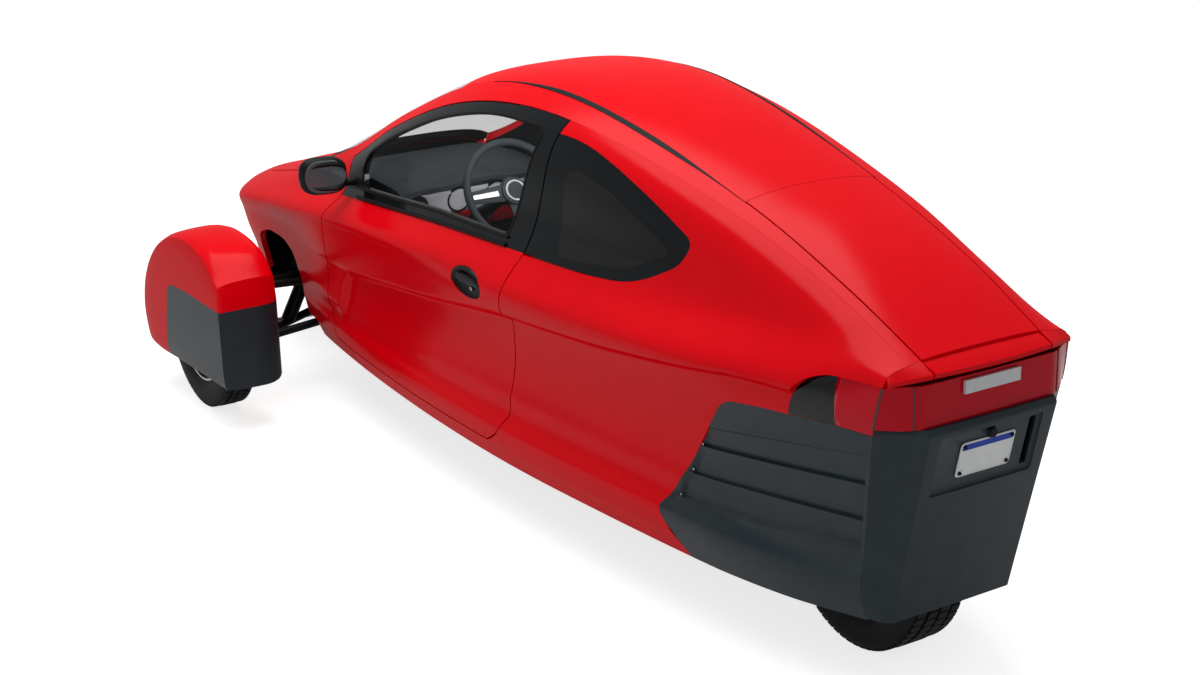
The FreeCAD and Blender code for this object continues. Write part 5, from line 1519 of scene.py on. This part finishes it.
rings = []
for t in np.linspace(-1, 1, 25):
    full = max(1 - abs(t) ** 3.2, 0.0) ** 0.45
    half_x, half_z = 32 * (0.15 + 0.85 * full), 64 * (0.12 + 0.88 * full)
    rings.append(rounded_ring(MIRROR_X + 4 * t, MIRROR_Z + 4 * t, half_x, half_z, MIRROR_Y + MIRROR_HALF * t))
housing = across("mirror_housing", rings, [black_abs])
cut(housing, mirror_layer("pocket", 2290, 26, 56, 75, 2.6, black_abs))
finish_mesh(housing, crisp=28)
plate = mirror_layer("mirror_plate", 2317, 4, 55, 73, 8, mirror_glass)
rings = [rounded_ring(2338 + 6 * t, 874 + 8 * t, 18 - 3 * t, 14 - 2 * t, 376 + 110 * t)
         for t in np.linspace(0, 1, 9)]
arm = across("mirror_arm", rings, [black_abs])
sail = strip("sail", 2200, 2440, "belt", "rail", 5.0, [black_abs], sink=-2.5)
tidied(cut(sail, prism(rounded(SAIL, 8), 250, 600, black_abs), "INTERSECT"))
near_mirror = joined("door_mirror_left", [housing, plate, arm, sail])
far_mirror = mirrored(near_mirror, "door_mirror_right")
stands_for(near_mirror, "door", "black_plastic", "mirror_left")
stands_for(far_mirror, ROOT, "black_plastic", "mirror_right")

# %% [markdown]
# The headlamps are polycarbonate covers, flush with the nose.

# %% Headlamps
headlamp_cover, tree, shader, coords = start_material("smoked_polycarbonate_cover", "#3b4043", 0.06,
                                                      Coat_Weight=1.0)
cells = add_node(tree, "ShaderNodeTexNoise", {"Vector": coords, "Scale": 1 / (25 * MM)})
glint = add_node(tree, "ShaderNodeMapRange", {"Value": cells.outputs["Fac"], "To Min": 0.04, "To Max": 0.09})
tree.links.new(glint.outputs["Result"], shader.inputs["Roughness"])
dress(["headlamps"], headlamp_cover)

# %% [markdown]
# The lamp's lens is moulded in sections. A dark rib stands at each corner of the tail and where
# the flat middle section begins.

# %% Lamp ribs
rib_z = np.linspace(LAMP_FOOT + 1, LAMP_HEAD - 1, 12)
corner = np.array([(*tail_corner(z), z) for z in rib_z])
inner_rib = np.array([(-325.0, 231.0, z) for z in rib_z])
ribs = []
for path, out, half in ((corner, (-0.7, 0.7, 0), 3.5), (inner_rib, (-0.9, 0.44, 0), 2.5)):
    ribs.append(bead("lamp_rib", path, np.tile(out, (len(path), 1)), half, 2.0, lamp_housing))
stands_for(paired("tail_lamp_ribs", joined("lamp_ribs_left", ribs)), ROOT, "lamp_lens")

# %% [markdown]
# ## Cabin
# The dash is a soft black pad from door to door with a pale fascia, a round vent at each end and
# two dials in the middle. Under the fascia it is painted red, as on the outside, with four
# turned knobs. Everything is drawn where the construction's plain dash stands.

# %% Dash pad, fascia and lower panel
DASH_HALF = 296.0


def swept_across(name, half, count, profile_at, materials):
    """A closed form from one side of the car to the other; profile_at gives (x, z) points."""
    rings = [[(x, y, z) for x, z in profile_at(y / half)] for y in np.linspace(-half, half, count)]
    return across(name, rings, materials)


def pad_profile(share):
    """The pad, with a low hood over the dials and its ends turned down."""
    hood = 16 * math.exp(-(share * DASH_HALF / 95) ** 4)
    edge = 10 * abs(share) ** 6
    lift = hood - edge
    return [(2685, 852 - edge), (2450, 868 - edge), (2260, 862 - edge + hood / 2), (2212 - hood, 858 + lift),
            (2190 - hood, 846 + lift), (2188 - hood, 832 + lift), (2206, 824), (2330, 820), (2685, 800)]


def fascia_profile(share):
    """The fascia, less deep towards its ends."""
    drop = 18 * abs(share) ** 3
    return [(2200, 826), (2196, 818), (2206, 752 + drop), (2214, 744 + drop), (2226, 744 + drop), (2226, 826)]


def lower_profile(share):
    """The painted panel below, the same all the way across."""
    return [(2222, 742), (2218, 736), (2262, 676), (2272, 668), (2500, 668), (2500, 742)]


dash = [swept_across("dash_pad", DASH_HALF, 41, pad_profile, [soft_trim]),
        swept_across("fascia", DASH_HALF - 8, 25, fascia_profile, [pale_trim]),
        swept_across("dash_lower", DASH_HALF - 14, 9, lower_profile, [enamel])]

# %% [markdown]
# Vents, dials and knobs are turned pieces. Each is made about its own axis and then set on the
# dash, facing the rear.

# %% Vents, dials and knobs
FACE_LEAN, KNOB_LEAN, DIAL = math.radians(-8), math.radians(36), 46
VENT_RING = [(-4, 30), (9, 33), (12, 37), (11, 41), (-4, 42)]
VENT_THROAT = [(2, 1), (2, 31), (-3, 31), (-3, 1)]
DIAL_RING = [(-3, DIAL - 8), (8, DIAL - 6), (11, DIAL - 2), (9, DIAL), (-3, DIAL)]
DIAL_FACE = [(3, 1), (3, DIAL - 6), (-2, DIAL - 6), (-2, 1)]
DIAL_BOSS = [(6, 1), (6, 14), (4, 17), (1, 17), (1, 1)]
KNOB = [(16, 1), (16, 12), (12, 14), (-6, 17), (-6, 1)]


def disc(name, profile, material):
    """A turned piece about the Y axis at the origin, filled in its middle."""
    return finish_mesh(filled(turned(name, profile, (MIDDLE, 0, 0), [material], 48)), crisp=40)


def on_dash(name, profile, material, point, lean):
    """A turned piece that faces the rear at that point, leaned back."""
    piece = disc(name, profile, material)
    spin = Matrix.Rotation(lean, 4, "Y") @ Matrix.Rotation(-math.pi / 2, 4, "Z")
    piece.data.transform(moved_to(point) @ spin)
    return piece


for y in (-232, 232):
    dash.append(on_dash("vent_ring", VENT_RING, black_abs, (2203, y, 786), FACE_LEAN))
    dash.append(on_dash("vent_throat", VENT_THROAT, rubber, (2203, y, 786), FACE_LEAN))
    dash += [block((2192, y - 28, 784 + z), (2202, y + 28, 787 + z), soft_trim) for z in (-16, 0, 16)]
for y in (-72, 72):
    for name, profile, material in (("dial_ring", DIAL_RING, black_abs), ("dial_face", DIAL_FACE, pale_trim),
                                    ("dial_boss", DIAL_BOSS, black_abs)):
        dash.append(on_dash(name, profile, material, (2203, y, 790), FACE_LEAN))
for y in (-60, 0, 60, 150):
    dash.append(on_dash("knob", KNOB, black_abs, (2242, y, 708), KNOB_LEAN))
stands_for(joined("dash_with_dials", dash), ROOT, "dash_plastic", "dashboard")

# %% [markdown]
# The steering wheel has a round padded rim, three spokes with silver insets and a plain boss. It
# is drawn flat about its own axis, and then set on the leaned column, facing the driver.

# %% Steering wheel
WHEEL_AT, WHEEL_RISE, RIM_MAJOR, RIM_MINOR = (1950.0, 0.0, 858.0), math.radians(-29.1), 170.0, 13.0
BOSS = [(-14, 1), (-14, 34), (-10, 46), (4, 52), (24, 48), (24, 1)]
BOSS_RING = [(-15, 30), (-16.5, 32), (-16.5, 35), (-13, 36.5), (-10, 34)]
# A spoke's section: share of its half-width, and depth.
SPOKE = [(-1, 8), (-1, 2), (-0.8, 0), (0.8, 0), (1, 2), (1, 8)]
axis = Vector((math.cos(WHEEL_RISE), 0, math.sin(WHEEL_RISE)))
raised = Vector((-math.sin(WHEEL_RISE), 0, math.cos(WHEEL_RISE)))
turn_to = Matrix((Vector((0, -1, 0)), axis, raised)).transposed().to_4x4()


def spoke(angle, material, half, near, far, front):
    """A tapered bar from near to far of the wheel's axis, at that angle and that far in front."""
    rings = []
    for t in np.linspace(0, 1, 6):
        wide, out = half * (1.25 - 0.35 * t), near + (far - near) * t
        rings.append([(MIDDLE + share * wide, depth - 4 - front, out) for share, depth in SPOKE])
    bar = across("spoke", rings, [material])
    bar.data.transform(Matrix.Rotation(angle, 4, "Y"))
    return bar


rim_ring = [(RIM_MINOR * 0.9 * math.sin(a), RIM_MAJOR + RIM_MINOR * math.cos(a)) for a in round_angles(16)]
wheel_parts = [turned("rim_pad", rim_ring, (MIDDLE, 0, 0), [soft_trim]), disc("boss", BOSS, soft_trim),
               disc("boss_ring", BOSS_RING, pale_trim)]
for angle in (math.pi / 2, -math.pi / 2, math.pi):
    wheel_parts.append(spoke(angle, soft_trim, 23, 40, 164, 0.0))
    wheel_parts.append(spoke(angle, cast_aluminium, 9, 62, 156, 4.5))
for piece in wheel_parts:
    piece.data.transform(moved_to(WHEEL_AT) @ turn_to)
stands_for(joined("steering_wheel_padded", wheel_parts), "steering_wheel", "wheel_plastic", "steering_wheel")

# %% [markdown]
# ## Seats
# The two seats stand one behind the other. Each cushion is foam under a cloth cover, so it is
# blown up by a short cloth simulation: the form starts a little small, swells under pressure,
# and is held where its points would move too far. Rows of stitching are then pressed as shallow
# channels across it and along each side of its face.

# %% Cushions
SWELL, VOXEL, START_IN, CLOTH_FRAMES = 10.0, 9.0, 9.0, 20
STITCH_WIDTH, STITCH_DEPTH = 7.0, 7.0


def points_of(piece):
    """The piece's points as one array."""
    return np.array([v.co for v in piece.data.vertices])


def set_points(piece, points):
    """Move the piece's points."""
    piece.data.vertices.foreach_set("co", points.ravel())
    piece.data.update()


def cushion(name, centre, half, channels):
    """A crowned foam form: centre and half sizes in millimetres."""
    u, v = np.meshgrid(np.linspace(-1, 1, 15), np.linspace(-1, 1, 15), indexing="ij")
    rounding = np.clip((u ** 8 + v ** 8), 0, 1)
    top = np.stack([u * (1 - 0.05 * v ** 2), v * (1 - 0.05 * u ** 2), 1 - 0.35 * rounding], -1)
    top = top * (np.array(half) - START_IN)
    made = shell(name, top + (MIDDLE, 0, 0), top * (1, 1, -1) + (MIDDLE, 0, 0), [fabric])
    print(name, "moved", round(swollen(made) / MM, 1), "mm at most")
    sew(made, channels, half)
    made.data.transform(moved_to(centre))
    return made


def swollen(piece):
    """Remesh, blow up with cloth pressure, cap the motion and smooth once."""
    remesh = piece.modifiers.new("even", "REMESH")
    remesh.mode, remesh.voxel_size = "VOXEL", VOXEL * MM
    rest = points_of(baked(piece))
    cloth = piece.modifiers.new("cover", "CLOTH")
    cloth.settings.use_pressure = True
    cloth.settings.uniform_pressure_force = 4.0
    cloth.settings.effector_weights.gravity = 0.0
    cloth.settings.tension_stiffness = 30.0
    cloth.point_cache.frame_start, cloth.point_cache.frame_end = 1, CLOTH_FRAMES
    for frame_number in range(1, CLOTH_FRAMES + 1):
        scene.frame_set(frame_number)
    move = points_of(baked(piece)) - rest
    scene.frame_set(1)
    far = np.linalg.norm(move, axis=1, keepdims=True)
    set_points(piece, rest + move * np.minimum(1.0, SWELL * MM / np.maximum(far, 1e-9)))
    smooth = piece.modifiers.new("round", "SUBSURF")
    smooth.levels = smooth.render_levels = 1
    finish_mesh(baked(piece), crisp=60)
    return float(far.max())


def stitch(distance):
    """How deep a line of stitching is pressed at a distance from it."""
    return np.exp(-(distance / STITCH_WIDTH) ** 2)


def sew(piece, channels, half):
    """Press shallow stitched channels across the cushion and one along each side of its face."""
    points = points_of(piece) / MM
    upper = smooth_step(points[:, 2], 0, half[2] * 0.5)
    inside = 1 - smooth_step(np.abs(points[:, 1]), half[1] * 0.66, half[1] * 0.72)
    press = sum(stitch(points[:, 0] - at * half[0]) for at in channels) * inside
    press = np.maximum(press, stitch(np.abs(points[:, 1]) - half[1] * 0.7))
    points[:, 2] -= STITCH_DEPTH * press * upper
    set_points(piece, points * MM)


# %% [markdown]
# Each pad fills most of its construction node's box. The backrest's pad is laid flat and then
# turned up about its middle, to the lean that the box allows.

# %% Seat pads
BACK_THICKNESS, BACK_PAD_HALF = 120, 58
for word in ("front", "rear"):
    centre, half = middle_and_half("seat_cushion_" + word)
    centre[1] = 0
    seat = cushion("seat_pad_" + word, centre, half, (-0.5, 0.0, 0.5))
    stands_for(seat, ROOT, "seat_fabric", "seat_cushion_" + word)
    centre, (deep, wide, tall) = middle_and_half("seat_back_" + word)
    centre[1] = 0
    run = deep * 2 - BACK_THICKNESS
    long, lean = math.hypot(run, tall * 2) / 2, math.atan2(run, tall * 2)
    back = cushion("seat_back_pad_" + word, centre, (long - 22, wide, BACK_PAD_HALF), (-0.55, -0.15, 0.25))
    turn, middle = Matrix.Rotation(math.pi / 2 - lean - 0.02, 4, "Y"), moved_to(centre)
    back.data.transform(middle @ turn @ middle.inverted())
    stands_for(back, ROOT, "seat_fabric", "seat_back_" + word)

# %% [markdown]
# ## Studio
# The floor is pale and plain. It keeps the soft shadow under the car, and elsewhere it is lit up
# to white for the camera and for reflections, so that gloss and glass show a white room. One wide
# lamp hangs over the car, a weaker one stands on the camera's side, and a small one is in the cabin.

# %% Floor, backdrop and lamps
FLOOR_HALF, SHINE, FLOOR_GLOW, WORLD_GLOW = 30.0, 0.25, 0.75, (0.32, 1.0)
LAMPS = [("overhead_softbox", (0.3, 0.4, 5.2), (0, 0, 0.5), 5.0, 270.0),
         ("side_softbox", (-3.0, 6.0, 2.6), (0, 0, 0.5), 4.0, 25.0),
         ("cabin_softbox", (-0.1, 0.0, 1.27), (0.6, 0, 0.8), 0.3, 5.0)]


def white_rays(tree):
    """1 for rays from the camera or through glass, a little for reflections, 0 for the rest."""
    path = add_node(tree, "ShaderNodeLightPath").outputs
    shine = add_node(tree, "ShaderNodeMath", {0: path["Is Glossy Ray"], 1: SHINE}, operation="MULTIPLY")
    links = {0: path["Is Camera Ray"], 1: shine.outputs[0]}
    seen = add_node(tree, "ShaderNodeMath", links, operation="MAXIMUM")
    links = {0: seen.outputs[0], 1: path["Is Transmission Ray"]}
    return add_node(tree, "ShaderNodeMath", links, operation="MAXIMUM").outputs[0]


floor_paint, tree, shader, coords = start_material("matt_white_floor", "#dadada", 0.95)
shader.inputs["Emission Color"].default_value = linear("#ffffff")
lift = add_node(tree, "ShaderNodeMath", {0: white_rays(tree), 1: FLOOR_GLOW}, operation="MULTIPLY")
tree.links.new(lift.outputs[0], shader.inputs["Emission Strength"])
floor_points = [(x * FLOOR_HALF, y * FLOOR_HALF, 0) for x, y in ((-1, -1), (1, -1), (1, 1), (-1, 1))]
floor = new_piece("studio_floor", floor_points, [range(4)], [floor_paint])

world = bpy.data.worlds.new("white_studio")
scene.world = world
world.use_nodes = True
links = {"Value": white_rays(world.node_tree), "To Min": WORLD_GLOW[0], "To Max": WORLD_GLOW[1]}
strength = add_node(world.node_tree, "ShaderNodeMapRange", links)
back = world.node_tree.nodes["Background"]
back.inputs["Color"].default_value = (1, 1, 1, 1)
world.node_tree.links.new(strength.outputs["Result"], back.inputs["Strength"])

for name, where, aim, width, power in LAMPS:
    light = bpy.data.lights.new(name, "AREA")
    light.shape, light.size, light.energy = "SQUARE", width, power
    lamp = bpy.data.objects.new(name, light)
    scene.collection.objects.link(lamp)
    lamp.location = where
    lamp.rotation_euler = (Vector(aim) - Vector(where)).to_track_quat("-Z", "Y").to_euler()
